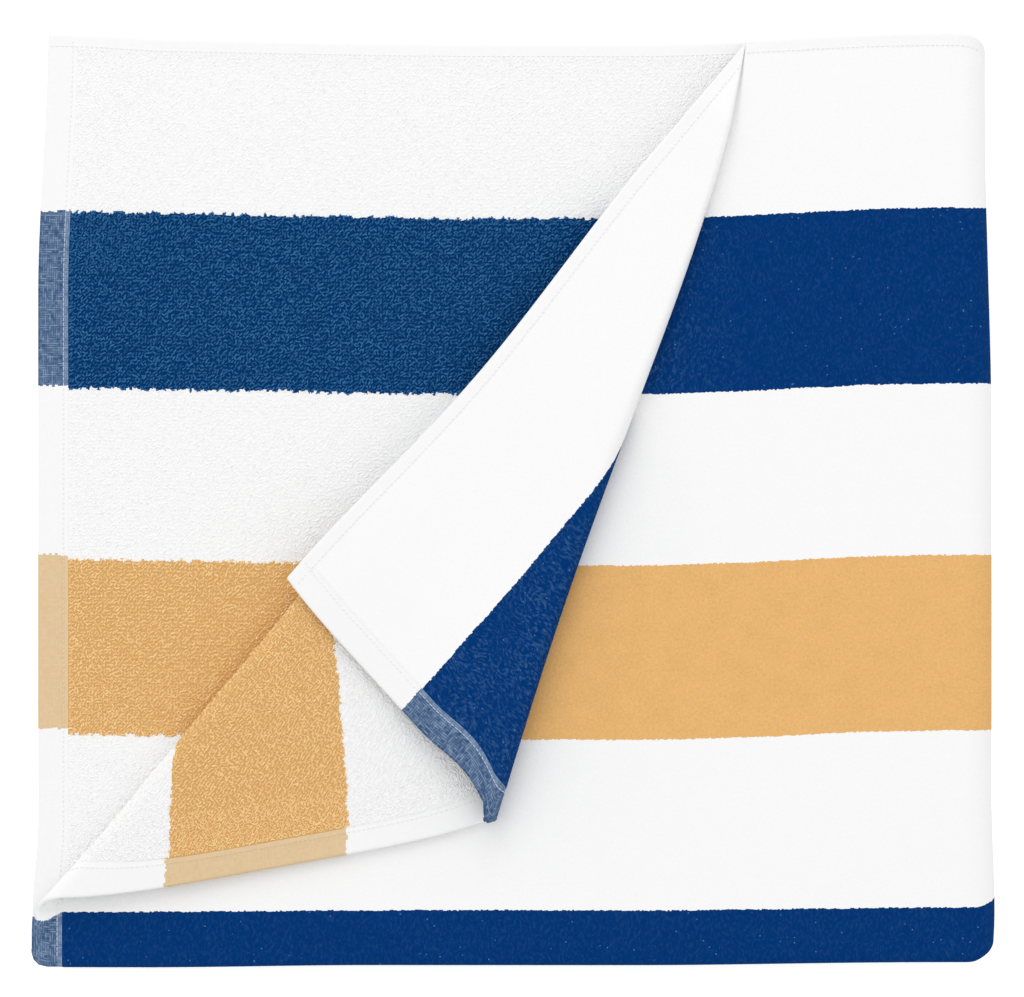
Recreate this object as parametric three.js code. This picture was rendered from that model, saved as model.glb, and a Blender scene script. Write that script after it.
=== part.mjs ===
// A striped cotton bath and beach towel, folded into a square of eight layers,
// with one corner of the top layer turned back twice. It is one sheet of cloth,
// so it is one closed body: a middle surface with its thickness laid on both sides.
//
// Millimetres, +Z up. The towel rests on z = 0 with the origin under its middle.
// Folding order: in half along its length (fold at -Y, velour side out), then in
// half across (fold at -X, underneath), then in half across again (fold at +X).

import * as THREE from 'three';

// ---- Driving dimensions ----------------------------------------------------

const PILE_THICKNESS = 2.4; // pile and ground together
const HEM_THICKNESS = 2.0; // flat-woven end hems, folded double
const PRESSED = 0.36; // share of the thickness lost where folds cross or run together
const LAYER_PITCH = 3.0; // from one layer's middle to the next one's
const END_HEM = 11.4; // depth of the hem at each end
const SIDE_HEM = 5; // depth of the hem along each side

const LEFT_END = -192; // where the two ends of the cloth lie
const LOWER_END_INSET = 1.5; // the lower end lies a little inside the upper one
const SELVAGE_Y = 183; // the two open sides, at +Y
const FOLD_Y = -184.7; // middle of the fold along the length, at -Y
const RIGHT_FOLD_X = 180.3; // middle of the two folds at +X
const LEFT_FOLD_X = -185; // middle of the fold at -X

// The turned-back corner. Both creases start at one point on the open side.
const APEX = { x: 92.8, y: 183 };
const FIRST_CREASE_END = { x: -190.3, y: -163.7 }; // its nose, at the end hem
const SECOND_CREASE_END = { x: -8.2, y: -125.8 };
const FREE_CORNER = { x: -91.2, y: -32.4 }; // the cloth's corner, after both turns
// How far a crease bends away from its flap: each row is a size and the powers
// of the share of the crease and of the rest of it.
const FIRST_CREASE_BOWS = [[-15, 2, 1]];
const SECOND_CREASE_BOWS = [[57, 1, 3], [-9.5, 1, 1]];
const SIDE_EDGE_SLACK = 4.5; // how far the turned-back side edge is drawn in between its ends
const CREASE_RADIUS = { near: 1.5, firstFar: 3.8, secondFar: 5.6 };
const FLAP_SPACING = 3.1; // from a resting flap's middle to the layer below's
const FLAP_SETTLE = { first: 34, second: 40 }; // how soon a flap comes down
const PLEAT_START = 0.1; // up to this share of the creases the pleat narrows to a point
const PLEAT_PRESS_END = 0.34; // and up to this share it is pressed thin
const PRESS_ANGLE = { from: 1.4, to: 1.5 }; // past it the cloth about the apex is not pressed
const CROSSING_REACH = 12; // how far from the lengthwise fold the crossing folds are pressed

// How far the end hem is drawn out beside the second crease: of the whole flap,
// and of the tip next to the fold itself.
const TONGUE = { whole: 2.8, tip: 4.6 };

// How the hem runs on past a crease's nose, for each millimetre of its radius.
const HEM_RUN = { firstBefore: 1.23, firstAfter: -2.5, secondBefore: 0.97, secondAfter: -0.97 };

// Steps of the mesh
const ARC_STEPS = 8;
const WIDE_ARC_STEPS = 10;
const RINGS = [0, 0.03, 0.06, 0.1, 0.15, 0.22, 0.31, 0.42, 0.54, 0.66, 0.78, 0.88, 0.9595, 1];
const CORNER_COLUMNS = [0, END_HEM, 44, 84, 126, 168, 208, 248];
const APEX_COLUMN = 6; // width of the column of cells just past the apex
const RUN_SHARES = [0.2, 0.4, 0.6, 0.8]; // along each flat run under the top one
const LOWER_ROWS = [0.12, 0.3, 0.5, 0.7, 0.88]; // across the lower half's width
const RAYS = {
  upper: [0, 0.06, 0.3, 0.55, 0.78, 0.92, 1],
  middle: [0.1, 0.28, 0.46, 0.64, 0.8, 0.92, 1],
};

// ---- Small helpers ---------------------------------------------------------

const mix = (a, b, share) => a + (b - a) * share;
const smooth = (t) => {
  const x = Math.min(1, Math.max(0, t));
  return x * x * (3 - 2 * x);
};
const ramp = (value, [from, to]) => smooth((value - from) / (to - from));
const along = (from, to, share) => ({ x: mix(from.x, to.x, share), y: mix(from.y, to.y, share) });
const range = (count) => Array.from({ length: count }, (_, i) => i);
const steps = (from, to, count) => range(count).map((i) => mix(from, to, (i + 1) / count));

// ---- The folded pair of layers along the towel's length --------------------

// Each row is a flat run or a half turn of the folded pair, in order from the
// upper end of the cloth to the lower one. z is the height of the pair's middle.
const LEGS = [
  { kind: 'run', from: LEFT_END, to: RIGHT_FOLD_X, z: 7 * LAYER_PITCH },
  { kind: 'turn', x: RIGHT_FOLD_X, z: 4 * LAYER_PITCH, radius: 3 * LAYER_PITCH, side: 1, drop: 1 },
  { kind: 'run', from: RIGHT_FOLD_X, to: LEFT_FOLD_X, z: LAYER_PITCH },
  { kind: 'turn', x: LEFT_FOLD_X, z: 2 * LAYER_PITCH, radius: LAYER_PITCH, side: -1, drop: -1 },
  { kind: 'run', from: LEFT_FOLD_X, to: RIGHT_FOLD_X, z: 3 * LAYER_PITCH },
  { kind: 'turn', x: RIGHT_FOLD_X, z: 4 * LAYER_PITCH, radius: LAYER_PITCH, side: 1, drop: -1 },
  { kind: 'run', from: RIGHT_FOLD_X, to: LEFT_END + LOWER_END_INSET, z: 5 * LAYER_PITCH },
];
for (const leg of LEGS) {
  leg.length = leg.kind === 'run' ? Math.abs(leg.to - leg.from) : Math.PI * leg.radius;
}
const LENGTH = LEGS.reduce((sum, leg) => sum + leg.length, 0);
const ROUNDING = 1e-9;

// A point of the pair's middle line, with the direction of its velour face.
function pairPoint(u) {
  let rest = u;
  for (const leg of LEGS) {
    if (rest > leg.length + ROUNDING && leg !== LEGS.at(-1)) {
      rest -= leg.length;
      continue;
    }
    if (leg.kind === 'run') {
      const heading = Math.sign(leg.to - leg.from);
      return { x: leg.from + heading * rest, z: leg.z, nx: 0, nz: leg.faceUp, bend: 0 };
    }
    const angle = rest / leg.radius;
    const outX = leg.side * Math.sin(angle);
    const outZ = leg.drop * Math.cos(angle);
    return {
      x: leg.x + leg.radius * outX,
      z: leg.z + leg.radius * outZ,
      nx: outX * leg.faceOut,
      nz: outZ * leg.faceOut,
      bend: leg.radius > LAYER_PITCH ? leg.radius * (1 - Math.abs(outZ)) : 0,
    };
  }
  throw new Error('past the end of the cloth');
}

// The upper half's velour faces up on the first run and out round the two outer
// folds; the last turn holds it inside.
const FACES = [1, 1, -1, 1, 1, -1, -1];
LEGS.forEach((leg, i) => {
  if (leg.kind === 'run') leg.faceUp = FACES[i];
  else leg.faceOut = FACES[i];
});

// ---- Across the towel's width ----------------------------------------------

const HALF_RADIUS = LAYER_PITCH / 2;
const FLAT_HALF = SELVAGE_Y - FOLD_Y;
const WIDTH = 2 * FLAT_HALF + Math.PI * HALF_RADIUS;

// Distance v from the upper side edge: the place in y, and how far the half
// lies to the velour side of the pair's middle.
function acrossPoint(v) {
  if (v <= FLAT_HALF) return { y: SELVAGE_Y - v, lift: HALF_RADIUS };
  const angle = (v - FLAT_HALF) / HALF_RADIUS;
  if (angle < Math.PI) {
    return { y: FOLD_Y - HALF_RADIUS * Math.sin(angle), lift: HALF_RADIUS * Math.cos(angle) };
  }
  return { y: FOLD_Y + (v - FLAT_HALF - Math.PI * HALF_RADIUS), lift: -HALF_RADIUS };
}

// Both edges draw in where the folded pair goes round the +X fold, so that the
// towel's corners are round in plan.
const CORNER_ROUND = { upper: 0.75, lower: 0.7 }; // for each millimetre of the fold's radius
const EDGE_REACH = 55; // how far inside an edge the cloth follows it

function drawIn(y, pair) {
  const upper = CORNER_ROUND.upper * ramp(y, [SELVAGE_Y - EDGE_REACH, SELVAGE_Y]);
  const lower = CORNER_ROUND.lower * ramp(y, [FOLD_Y + EDGE_REACH, FOLD_Y]);
  return pair.bend * (lower - upper);
}

function layerPoint(u, v) {
  const pair = pairPoint(u);
  const across = acrossPoint(v);
  return new THREE.Vector3(
    pair.x + pair.nx * across.lift,
    across.y + drawIn(across.y, pair),
    pair.z + pair.nz * across.lift,
  );
}

// ---- The corner that is turned back twice ----------------------------------

const TOP_Z = LEGS[0].z + HALF_RADIUS;
const APEX_U = APEX.x - LEFT_END;

function creaseFrame(end, flapSide, bows) {
  const length = Math.hypot(end.x - APEX.x, end.y - APEX.y);
  const d = { x: (end.x - APEX.x) / length, y: (end.y - APEX.y) / length };
  return { end, length, d, n: { x: -d.y * flapSide, y: d.x * flapSide }, bows };
}
const FIRST = creaseFrame(FIRST_CREASE_END, 1, FIRST_CREASE_BOWS); // n points over the layer below
const SECOND = creaseFrame(SECOND_CREASE_END, -1, SECOND_CREASE_BOWS); // and over the middle flap

const radiusAt = (far, share) => mix(CREASE_RADIUS.near, far, smooth(share));
const firstRadius = (share) => radiusAt(CREASE_RADIUS.firstFar, share);
const secondRadius = (share) => radiusAt(CREASE_RADIUS.secondFar, share);

function creaseBow(frame, share) {
  const rows = frame.bows.map(([size, power, rest]) => size * share ** power * (1 - share) ** rest);
  return rows.reduce((sum, row) => sum + row, 0);
}
function creaseNose(frame, share) {
  const bow = creaseBow(frame, share);
  const p = along(APEX, frame.end, share);
  return { x: p.x - frame.n.x * bow, y: p.y - frame.n.y * bow };
}

// Distance of a place from a crease's nose line, and its share of that line.
function fromCrease(frame, p) {
  const dx = p.x - APEX.x;
  const dy = p.y - APEX.y;
  const share = (dx * frame.d.x + dy * frame.d.y) / frame.length;
  const bow = creaseBow(frame, Math.min(1, Math.max(0, share)));
  return { side: dx * frame.n.x + dy * frame.n.y + bow, share };
}

// Heights of the two resting flaps over the layer they were turned from.
function settled(radius, side, reach) {
  const over = Math.max(0, side - radius) / reach;
  return (2 * radius - FLAP_SPACING) / (1 + over * over);
}
function middleHeight(p) {
  const { side, share } = fromCrease(FIRST, p);
  return FLAP_SPACING + settled(firstRadius(share), side, FLAP_SETTLE.first);
}
function upperHeight(p) {
  const { side, share } = fromCrease(SECOND, p);
  return middleHeight(p) + FLAP_SPACING + settled(secondRadius(share), side, FLAP_SETTLE.second);
}

// A point on a crease's half turn, from angle 0 underneath to PI on top.
function turnPoint(frame, nose, radius, angle, run, baseHeight) {
  const inward = radius * (1 - Math.sin(angle));
  const onward = radius * mix(run.before, run.after, angle / Math.PI);
  return new THREE.Vector3(
    nose.x + frame.n.x * inward + frame.d.x * onward,
    nose.y + frame.n.y * inward + frame.d.y * onward,
    baseHeight + radius * (1 - Math.cos(angle)),
  );
}
const FIRST_RUN = { before: HEM_RUN.firstBefore, after: HEM_RUN.firstAfter };
const SECOND_RUN = { before: HEM_RUN.secondBefore, after: HEM_RUN.secondAfter };

const firstTurn = (share, angle) =>
  turnPoint(FIRST, creaseNose(FIRST, share), firstRadius(share), angle, FIRST_RUN, 0);
function secondTurn(share, angle) {
  const radius = secondRadius(share);
  const nose = creaseNose(SECOND, share);
  const foot = turnPoint(SECOND, nose, radius, 0, SECOND_RUN, 0);
  return turnPoint(SECOND, nose, radius, angle, SECOND_RUN, middleHeight(foot));
}

// The upper flap's side edge, drawn in between its ends.
function sideEdge(share) {
  const pull = SIDE_EDGE_SLACK * ramp(share, [0.2, 0.6]) * ramp(share, [1, 0.6]);
  const dx = FREE_CORNER.x - APEX.x;
  const dy = FREE_CORNER.y - APEX.y;
  const length = Math.hypot(dx, dy);
  const p = along(APEX, FREE_CORNER, share);
  return { x: p.x - (dy / length) * pull, y: p.y + (dx / length) * pull };
}

// A flap's ring bulges a little towards the hem, most in its middle part.
const FULLNESS = {
  middle: (share) => 5 * ramp(share, [0.45, 0.9595]) - 1.7 * ramp(share, [0.9595, 1]),
  upper: (share, t) => (1.7 * (1 - 0.55 * t) - 3.7 * ramp(t, [0.69, 0.94])) * ramp(share, [0.7, 1]),
};

function acrossFlap(share, part, start, end, t) {
  const bulge = FULLNESS[part](share, t) * (1 - (2 * t - 1) ** 4);
  const dx = end.x - start.x;
  const dy = end.y - start.y;
  const turn = (dx > 0 ? -bulge : bulge) / Math.hypot(dx, dy); // away from the apex
  const p = along(start, end, t);
  return { x: p.x - dy * turn, y: p.y + dx * turn };
}

// How far the upper flap is drawn along the second crease, near the hem.
function tongue(share, part, t) {
  if (part !== 'upper' && part !== 'secondTurn') return 0;
  const angle = part === 'secondTurn' ? Math.PI * (1 - t) : Math.PI;
  const drawn = part === 'secondTurn' ? ramp(angle, [0.6, 1.6]) : Math.max(0, (t - 0.72) / 0.28) ** 2.4;
  const tip = ramp(angle, [1.8, 2.5]) * ramp(angle, [Math.PI, 2.75]);
  const nearHem = ramp(share, [0.84, 0.95]) * mix(1, 0.8, ramp(share, [0.9595, 1]));
  return TONGUE.whole * drawn * nearHem + TONGUE.tip * tip * ramp(share, [0.95, 1]);
}

// The folded corner on the ring at a share of the way from the apex to the hem.
// Heights are over the top layer. part and t say where on the ring the point is.
function foldedPoint(share, part, t) {
  if (part === 'firstTurn') return firstTurn(share, Math.PI * (1 - t));
  if (part === 'secondTurn') return secondTurn(share, Math.PI * (1 - t));
  if (part === 'middle') {
    const p = acrossFlap(share, part, secondTurn(share, 0), firstTurn(share, Math.PI), t);
    return new THREE.Vector3(p.x, p.y, middleHeight(p));
  }
  const p = acrossFlap(share, part, sideEdge(share), secondTurn(share, Math.PI), t);
  return new THREE.Vector3(p.x, p.y, upperHeight(p));
}

// Next to the apex the pleat keeps its form but narrows evenly to a point.
function cornerPoint(share, part, t) {
  const p = foldedPoint(Math.max(share, PLEAT_START), part, t);
  const onward = tongue(share, part, t);
  p.x += SECOND.d.x * onward;
  p.y += SECOND.d.y * onward;
  const near = Math.min(1, share / PLEAT_START);
  return new THREE.Vector3(mix(APEX.x, p.x, near), mix(APEX.y, p.y, near), TOP_Z + p.z * near);
}

// The top layer that stays down lies between the first crease's foot and the ray
// straight down from the apex. The foot's angle changes as the crease widens.
const angleOf = (p) => Math.atan2(APEX.y - p.y, APEX.x - p.x);
const STRAIGHT_DOWN = Math.PI / 2;

const footAngle = (share) => angleOf(firstTurn(Math.max(share, PLEAT_START), 0));

function restingAngle(share, hemAngle) {
  const place = (hemAngle - footAngle(1)) / (STRAIGHT_DOWN - footAngle(1));
  return mix(footAngle(share), STRAIGHT_DOWN, place);
}
function restingPoint(share, angle) {
  const edge = Math.min(APEX_U / Math.cos(angle), FLAT_HALF / Math.sin(angle));
  const reach = share * edge;
  return layerPoint(APEX_U - reach * Math.cos(angle), reach * Math.sin(angle));
}

// Share of the full thickness: it runs out to nothing at the apex's very point.
function cornerThickness(share, angle) {
  const near = Math.min(1, share / PLEAT_START);
  const pressed = (1 - PRESSED * (1 - smooth(share / PLEAT_PRESS_END))) * near;
  return mix(pressed, 1, ramp(angle, [PRESS_ANGLE.from, PRESS_ANGLE.to]));
}

// ---- How the folded towel lies: small, slow shifts of the whole stack ------

// Each row moves the cloth by so many millimetres along one axis. The shift grows
// from its least share to all of it between the two x values and the two y values.
const LAY = [
  { axis: 'y', by: 2.4, x: [-10, -190], y: [-165, -75], least: 0 }, // up at the left
  { axis: 'y', by: 4.2, x: [50, 170], y: [-165, -75], least: 0.3 }, // up at the right
  { axis: 'y', by: -0.9, x: [-60, -150], y: [-140, -180], least: 0 }, // lower left edge
  { axis: 'y', by: 1.8, x: [-140, -190], y: [90, 180], least: 0 }, // upper left corner
  { axis: 'x', by: 4.0, x: [-60, -190], y: [80, 185], least: 0 },
  { axis: 'x', by: -2.4, x: [-100, -190], y: [-130, -170], least: 0 }, // lower left corner
  { axis: 'x', by: -2.6, x: [60, 190], y: [20, 150], least: 0 }, // upper right corner
  { axis: 'x', by: 1.2, x: [60, 190], y: [-120, -165], least: 0 }, // lower right corner
];
const LEFT_CORNER_RADIUS = 5; // the lower left corner's, in plan
const REST_Z = PILE_THICKNESS / 2; // the middle of the lowest layer
const LOFT = { by: 0.05, x: [100, 180] }; // the stack is a little higher at the +X fold
const FLATTEN = { by: 0.04, x: [-140, -190] }; // and a little lower at the hems

// How far a rounded corner pulls an edge in, at a distance from the corner.
function cornerPull(distance, radius) {
  if (distance >= radius) return 0;
  return radius - Math.sqrt(Math.max(0, radius ** 2 - (radius - Math.max(0, distance)) ** 2));
}

function lay(p) {
  const { x, y } = p;
  for (const row of LAY) {
    p[row.axis] += row.by * ramp(x, row.x) * mix(row.least, 1, ramp(y, row.y));
  }
  p.y += cornerPull(x - LEFT_END, LEFT_CORNER_RADIUS) * ramp(y, [FOLD_Y + EDGE_REACH, FOLD_Y]);
  p.z += (p.z - REST_Z) * (LOFT.by * ramp(x, LOFT.x) - FLATTEN.by * ramp(x, FLATTEN.x));
  return p;
}

// ---- Building the sheet ----------------------------------------------------

// The middle surface: points, the cloth's thickness at each, and four-sided
// cells whose corners run round the velour face anticlockwise.
const points = [];
const thicknesses = [];
const cells = [];

const GROUND = REST_Z - HALF_RADIUS; // puts the lowest layer at its height

function addPoint(p, fromEnd, thicknessShare) {
  p.z += GROUND;
  points.push(lay(p));
  const thickness = fromEnd < END_HEM - ROUNDING ? HEM_THICKNESS : PILE_THICKNESS;
  thicknesses.push(thickness * thicknessShare);
  return points.length - 1;
}

// Share of the full thickness, less where the fold along the length goes round
// the +X fold.
function sheetThickness(u, v) {
  if (u === APEX_U && v === 0) return 0;
  const fold = smooth(1 - Math.abs(v - WIDTH / 2) / CROSSING_REACH);
  return 1 - PRESSED * fold * smooth(pairPoint(u).bend / 2);
}

// Distances along the length where the mesh has a line of points.
function lengthStations() {
  const stations = [...CORNER_COLUMNS, APEX_U];
  let start = 0;
  LEGS.forEach((leg, i) => {
    const end = start + leg.length;
    if (i === 0) {
      stations.push(APEX_U + APEX_COLUMN, ...steps(APEX_U + APEX_COLUMN, end, 4));
    } else if (leg.kind === 'turn') {
      stations.push(...steps(start, end, leg.radius > LAYER_PITCH ? WIDE_ARC_STEPS : ARC_STEPS));
    } else {
      stations.push(...RUN_SHARES.map((share) => mix(start, end, share)));
      if (i === LEGS.length - 1) stations.push(end - END_HEM);
      stations.push(end);
    }
    start = end;
  });
  return stations;
}

// Distances across the width: the upper half's rows follow the corner's rings.
function widthStations() {
  const arcEnd = FLAT_HALF + Math.PI * HALF_RADIUS;
  return [
    ...RINGS.map((share) => share * FLAT_HALF),
    ...steps(FLAT_HALF, arcEnd, ARC_STEPS),
    ...LOWER_ROWS.map((share) => mix(arcEnd, WIDTH, share)),
    WIDTH - SIDE_HEM,
    WIDTH,
  ];
}

function addMainSheet() {
  const us = lengthStations();
  const vs = widthStations();
  const apexColumn = us.indexOf(APEX_U);
  const lastRing = RINGS.length - 1;
  const inCorner = (i, j) => i < apexColumn && j < lastRing;
  const ids = us.map((u, i) =>
    vs.map((v, j) => {
      if (inCorner(i, j)) return -1;
      return addPoint(layerPoint(u, v), Math.min(u, LENGTH - u), sheetThickness(u, v));
    }),
  );
  for (let i = 0; i + 1 < us.length; i += 1) {
    for (let j = 0; j + 1 < vs.length; j += 1) {
      if (!inCorner(i, j)) cells.push([ids[i][j], ids[i][j + 1], ids[i + 1][j + 1], ids[i + 1][j]]);
    }
  }
  return { ids, apexColumn, lastRing };
}

// The rays of the corner, from the cloth's open side round to straight down.
function cornerRays() {
  const place = (part, shares) => shares.map((t) => ({ part, t }));
  const turn = steps(0, 1, ARC_STEPS);
  const footV = SELVAGE_Y - firstTurn(1, 0).y;
  return [
    ...place('upper', RAYS.upper),
    ...place('secondTurn', turn),
    ...place('middle', RAYS.middle),
    ...place('firstTurn', turn),
    { part: 'base', u: 0, v: mix(footV, FLAT_HALF, 0.5) },
    ...CORNER_COLUMNS.map((u) => ({ part: 'base', u, v: FLAT_HALF })),
    { part: 'base', u: APEX_U, v: FLAT_HALF },
  ];
}

function addCorner({ ids, apexColumn, lastRing }) {
  const rays = cornerRays();
  const firstColumn = rays.length - 1 - apexColumn;
  const apex = ids[apexColumn][0];
  const rayIds = rays.map((ray, r) =>
    RINGS.map((share, k) => {
      if (k === 0) return apex;
      if (r === rays.length - 1) return ids[apexColumn][k];
      if (k === lastRing && r >= firstColumn) return ids[r - firstColumn][k];
      if (ray.part !== 'base') {
        const fromHem = APEX_U * (1 - share);
        return addPoint(cornerPoint(share, ray.part, ray.t), fromHem, cornerThickness(share, 0));
      }
      const u = mix(APEX_U, ray.u, share);
      const angle = restingAngle(share, angleOf({ x: ray.u + LEFT_END, y: SELVAGE_Y - ray.v }));
      return addPoint(restingPoint(share, angle), u, cornerThickness(share, angle));
    }),
  );
  for (let r = 0; r + 1 < rays.length; r += 1) {
    for (let k = 0; k < lastRing; k += 1) {
      const cell = [rayIds[r][k], rayIds[r][k + 1], rayIds[r + 1][k + 1], rayIds[r + 1][k]];
      cells.push(k === 0 ? cell.slice(0, 3) : cell);
    }
  }
}

// Two triangles for each cell, cut along its shorter diagonal.
function splitCell([a, b, c, d]) {
  if (d === undefined) return [[a, b, c]];
  const shortAC = points[a].distanceTo(points[c]) <= points[b].distanceTo(points[d]);
  return shortAC ? [[a, b, c], [a, c, d]] : [[a, b, d], [b, c, d]];
}

function faceDirections(triangles) {
  const sums = points.map(() => new THREE.Vector3());
  const ab = new THREE.Vector3();
  const ac = new THREE.Vector3();
  for (const [a, b, c] of triangles) {
    ab.subVectors(points[b], points[a]);
    ac.subVectors(points[c], points[a]);
    const face = ab.cross(ac).normalize();
    for (const id of [a, b, c]) sums[id].add(face);
  }
  return sums.map((sum) => sum.normalize());
}

// Edges that only one triangle uses, in that triangle's direction.
function openEdges(triangles) {
  const edges = new Map();
  for (const [a, b, c] of triangles) {
    for (const [from, to] of [[a, b], [b, c], [c, a]]) {
      const back = `${to},${from}`;
      if (edges.has(back)) edges.delete(back);
      else edges.set(`${from},${to}`, [from, to]);
    }
  }
  return [...edges.values()];
}

function towelGeometry() {
  addCorner(addMainSheet());
  const triangles = cells.flatMap(splitCell);
  const directions = faceDirections(triangles);
  const count = points.length;
  const coordinates = [1, -1].flatMap((side) =>
    points.flatMap((p, i) => {
      const q = p.clone().addScaledVector(directions[i], (side * thicknesses[i]) / 2);
      return [q.x, q.y, q.z];
    }),
  );
  const faces = triangles.flatMap(([a, b, c]) => [a, b, c, count + a, count + c, count + b]);
  for (const [a, b] of openEdges(triangles)) {
    faces.push(b, a, count + a, b, count + a, count + b);
  }
  const geometry = new THREE.BufferGeometry();
  geometry.setAttribute('position', new THREE.Float32BufferAttribute(coordinates, 3));
  geometry.setIndex(faces);
  geometry.computeBoundingBox();
  const middle = geometry.boundingBox.getCenter(new THREE.Vector3());
  geometry.translate(-middle.x, -middle.y, -geometry.boundingBox.min.z);
  geometry.computeVertexNormals();
  return geometry;
}

// ---- The towel -------------------------------------------------------------

const cotton = new THREE.MeshStandardMaterial({
  name: 'striped_terry_velour',
  color: 0xe9e6df,
  roughness: 0.95,
  metalness: 0,
});

const towel = new THREE.Mesh(towelGeometry(), cotton);
towel.name = 'towel';

const group = new THREE.Group();
group.name = 'bath_towel';
group.add(towel);

export default group;
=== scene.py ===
"""A striped cotton bath and beach towel, folded square, with one corner turned back.

The cloth is terry on one face and sheared velour on the other. It is one thin sheet
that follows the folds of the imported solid. The shape is worked out in millimetres in
the solid's own layout, and brought to metres and centred as each mesh is made.
"""

import logging
import math
from dataclasses import dataclass, field
from enum import Enum

import bpy
import numpy as np
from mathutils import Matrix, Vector


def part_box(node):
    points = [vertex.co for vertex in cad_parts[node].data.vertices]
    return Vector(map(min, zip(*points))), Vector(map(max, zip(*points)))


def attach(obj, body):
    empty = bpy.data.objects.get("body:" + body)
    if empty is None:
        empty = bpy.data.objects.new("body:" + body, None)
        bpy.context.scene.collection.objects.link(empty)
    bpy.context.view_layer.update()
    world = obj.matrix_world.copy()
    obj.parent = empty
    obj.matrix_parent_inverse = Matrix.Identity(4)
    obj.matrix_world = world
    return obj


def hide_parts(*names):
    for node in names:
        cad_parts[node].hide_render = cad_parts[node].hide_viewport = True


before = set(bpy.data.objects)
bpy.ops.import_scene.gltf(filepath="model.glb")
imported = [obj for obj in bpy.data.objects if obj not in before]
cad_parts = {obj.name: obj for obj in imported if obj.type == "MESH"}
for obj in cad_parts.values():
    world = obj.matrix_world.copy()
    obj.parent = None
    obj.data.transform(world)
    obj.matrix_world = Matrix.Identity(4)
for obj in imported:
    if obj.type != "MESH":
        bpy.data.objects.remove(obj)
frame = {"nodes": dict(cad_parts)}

LOG = logging.getLogger("towel")
MM = 0.001
BODY = "root"
CLOTH_UV = "cloth"

Values = float | np.ndarray
Input = float | tuple[float, ...] | bpy.types.NodeSocket


# ---- Arithmetic on arrays ---------------------------------------------------


def mix(start: Values, end: Values, share: Values) -> Values:
    """Go a share of the way from start to end."""
    return start + (end - start) * share


def smooth(share: Values) -> Values:
    """Ease a share in and out between 0 and 1."""
    t = np.clip(share, 0, 1)
    return t * t * (3 - 2 * t)


def ramp(value: Values, start: float, end: float) -> Values:
    """Rise smoothly from 0 at start to 1 at end."""
    return smooth((value - start) / (end - start))


def unit(vectors: np.ndarray) -> np.ndarray:
    """Scale each vector to length one."""
    return vectors / np.maximum(np.linalg.norm(vectors, axis=-1, keepdims=True), 1e-9)


def stack(*parts: Values) -> np.ndarray:
    """Put coordinate arrays of one shape side by side in a last axis."""
    return np.stack(np.broadcast_arrays(*parts), axis=-1).astype(float)


def steps(start: float, end: float, count: int) -> list[float]:
    """List count even steps after start, up to end."""
    return [mix(start, end, (i + 1) / count) for i in range(count)]


# ---- How the cloth is folded ------------------------------------------------


@dataclass(frozen=True)
class Cloth:
    """Sizes of the cloth itself, in millimetres."""

    pile: float = 2.4
    hem: float = 2.0
    pressed: float = 0.36  # share of thickness lost where folds cross
    pitch: float = 3.0  # from one layer's middle to the next one's
    end_hem: float = 11.4
    side_hem: float = 5.0


@dataclass(frozen=True)
class Leg:
    """A flat run or a half turn of the folded pair of layers."""

    length: float
    start: float  # x of a run's start or a turn's middle
    height: float
    heading: float  # a run's way along x, or the side that a turn bulges to
    radius: float = 0.0
    drop: float = 0.0  # 1 where a turn starts at its top, -1 at its bottom
    face: float = 1.0  # 1 where the velour faces up or outwards


@dataclass(frozen=True)
class FoldedPair:
    """The pair of layers, folded in four along the towel's length."""

    cloth: Cloth = Cloth()
    left_end: float = -192.0
    lower_inset: float = 1.5
    right_fold: float = 180.3
    left_fold: float = -185.0

    def legs(self) -> list[Leg]:
        """List the runs and turns from the cloth's upper end to its lower one.

        Returns:
            The legs, from the upper end to the lower.
        """
        p, left, right = self.cloth.pitch, self.left_fold, self.right_fold
        lower_end = self.left_end + self.lower_inset
        return [
            Leg(right - self.left_end, self.left_end, 7 * p, 1),
            Leg(math.pi * 3 * p, right, 4 * p, 1, 3 * p, 1, 1),
            Leg(right - left, right, p, -1, face=-1),
            Leg(math.pi * p, left, 2 * p, -1, p, -1, 1),
            Leg(right - left, left, 3 * p, 1),
            Leg(math.pi * p, right, 4 * p, 1, p, -1, -1),
            Leg(right - lower_end, right, 5 * p, -1, face=-1),
        ]

    @property
    def length(self) -> float:
        """The cloth's flat length."""
        return sum(leg.length for leg in self.legs())

    def place(self, u: np.ndarray) -> dict[str, np.ndarray]:
        """Find points of the pair's middle line.

        Args:
            u: Distances from the upper end.

        Returns:
            Arrays x, z, the velour's direction nx, nz, and bend, which grows round
            the wide turn.
        """
        u = np.asarray(u, float)
        out = {key: np.zeros_like(u) for key in ("x", "z", "nx", "nz", "bend")}
        start = 0.0
        for leg in self.legs():
            here = (u >= start - 1e-9) & (u <= start + leg.length + 1e-6)
            rest = u[here] - start
            if leg.radius == 0:
                out["x"][here] = leg.start + leg.heading * rest
                out["z"][here] = leg.height
                out["nx"][here], out["nz"][here] = 0, leg.face
                out["bend"][here] = 0
            else:
                angle = rest / leg.radius
                out_x, out_z = leg.heading * np.sin(angle), leg.drop * np.cos(angle)
                out["x"][here] = leg.start + leg.radius * out_x
                out["z"][here] = leg.height + leg.radius * out_z
                out["nx"][here], out["nz"][here] = out_x * leg.face, out_z * leg.face
                wide = leg.radius > self.cloth.pitch
                out["bend"][here] = leg.radius * (1 - abs(out_z)) if wide else 0
            start += leg.length
        return out


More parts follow.
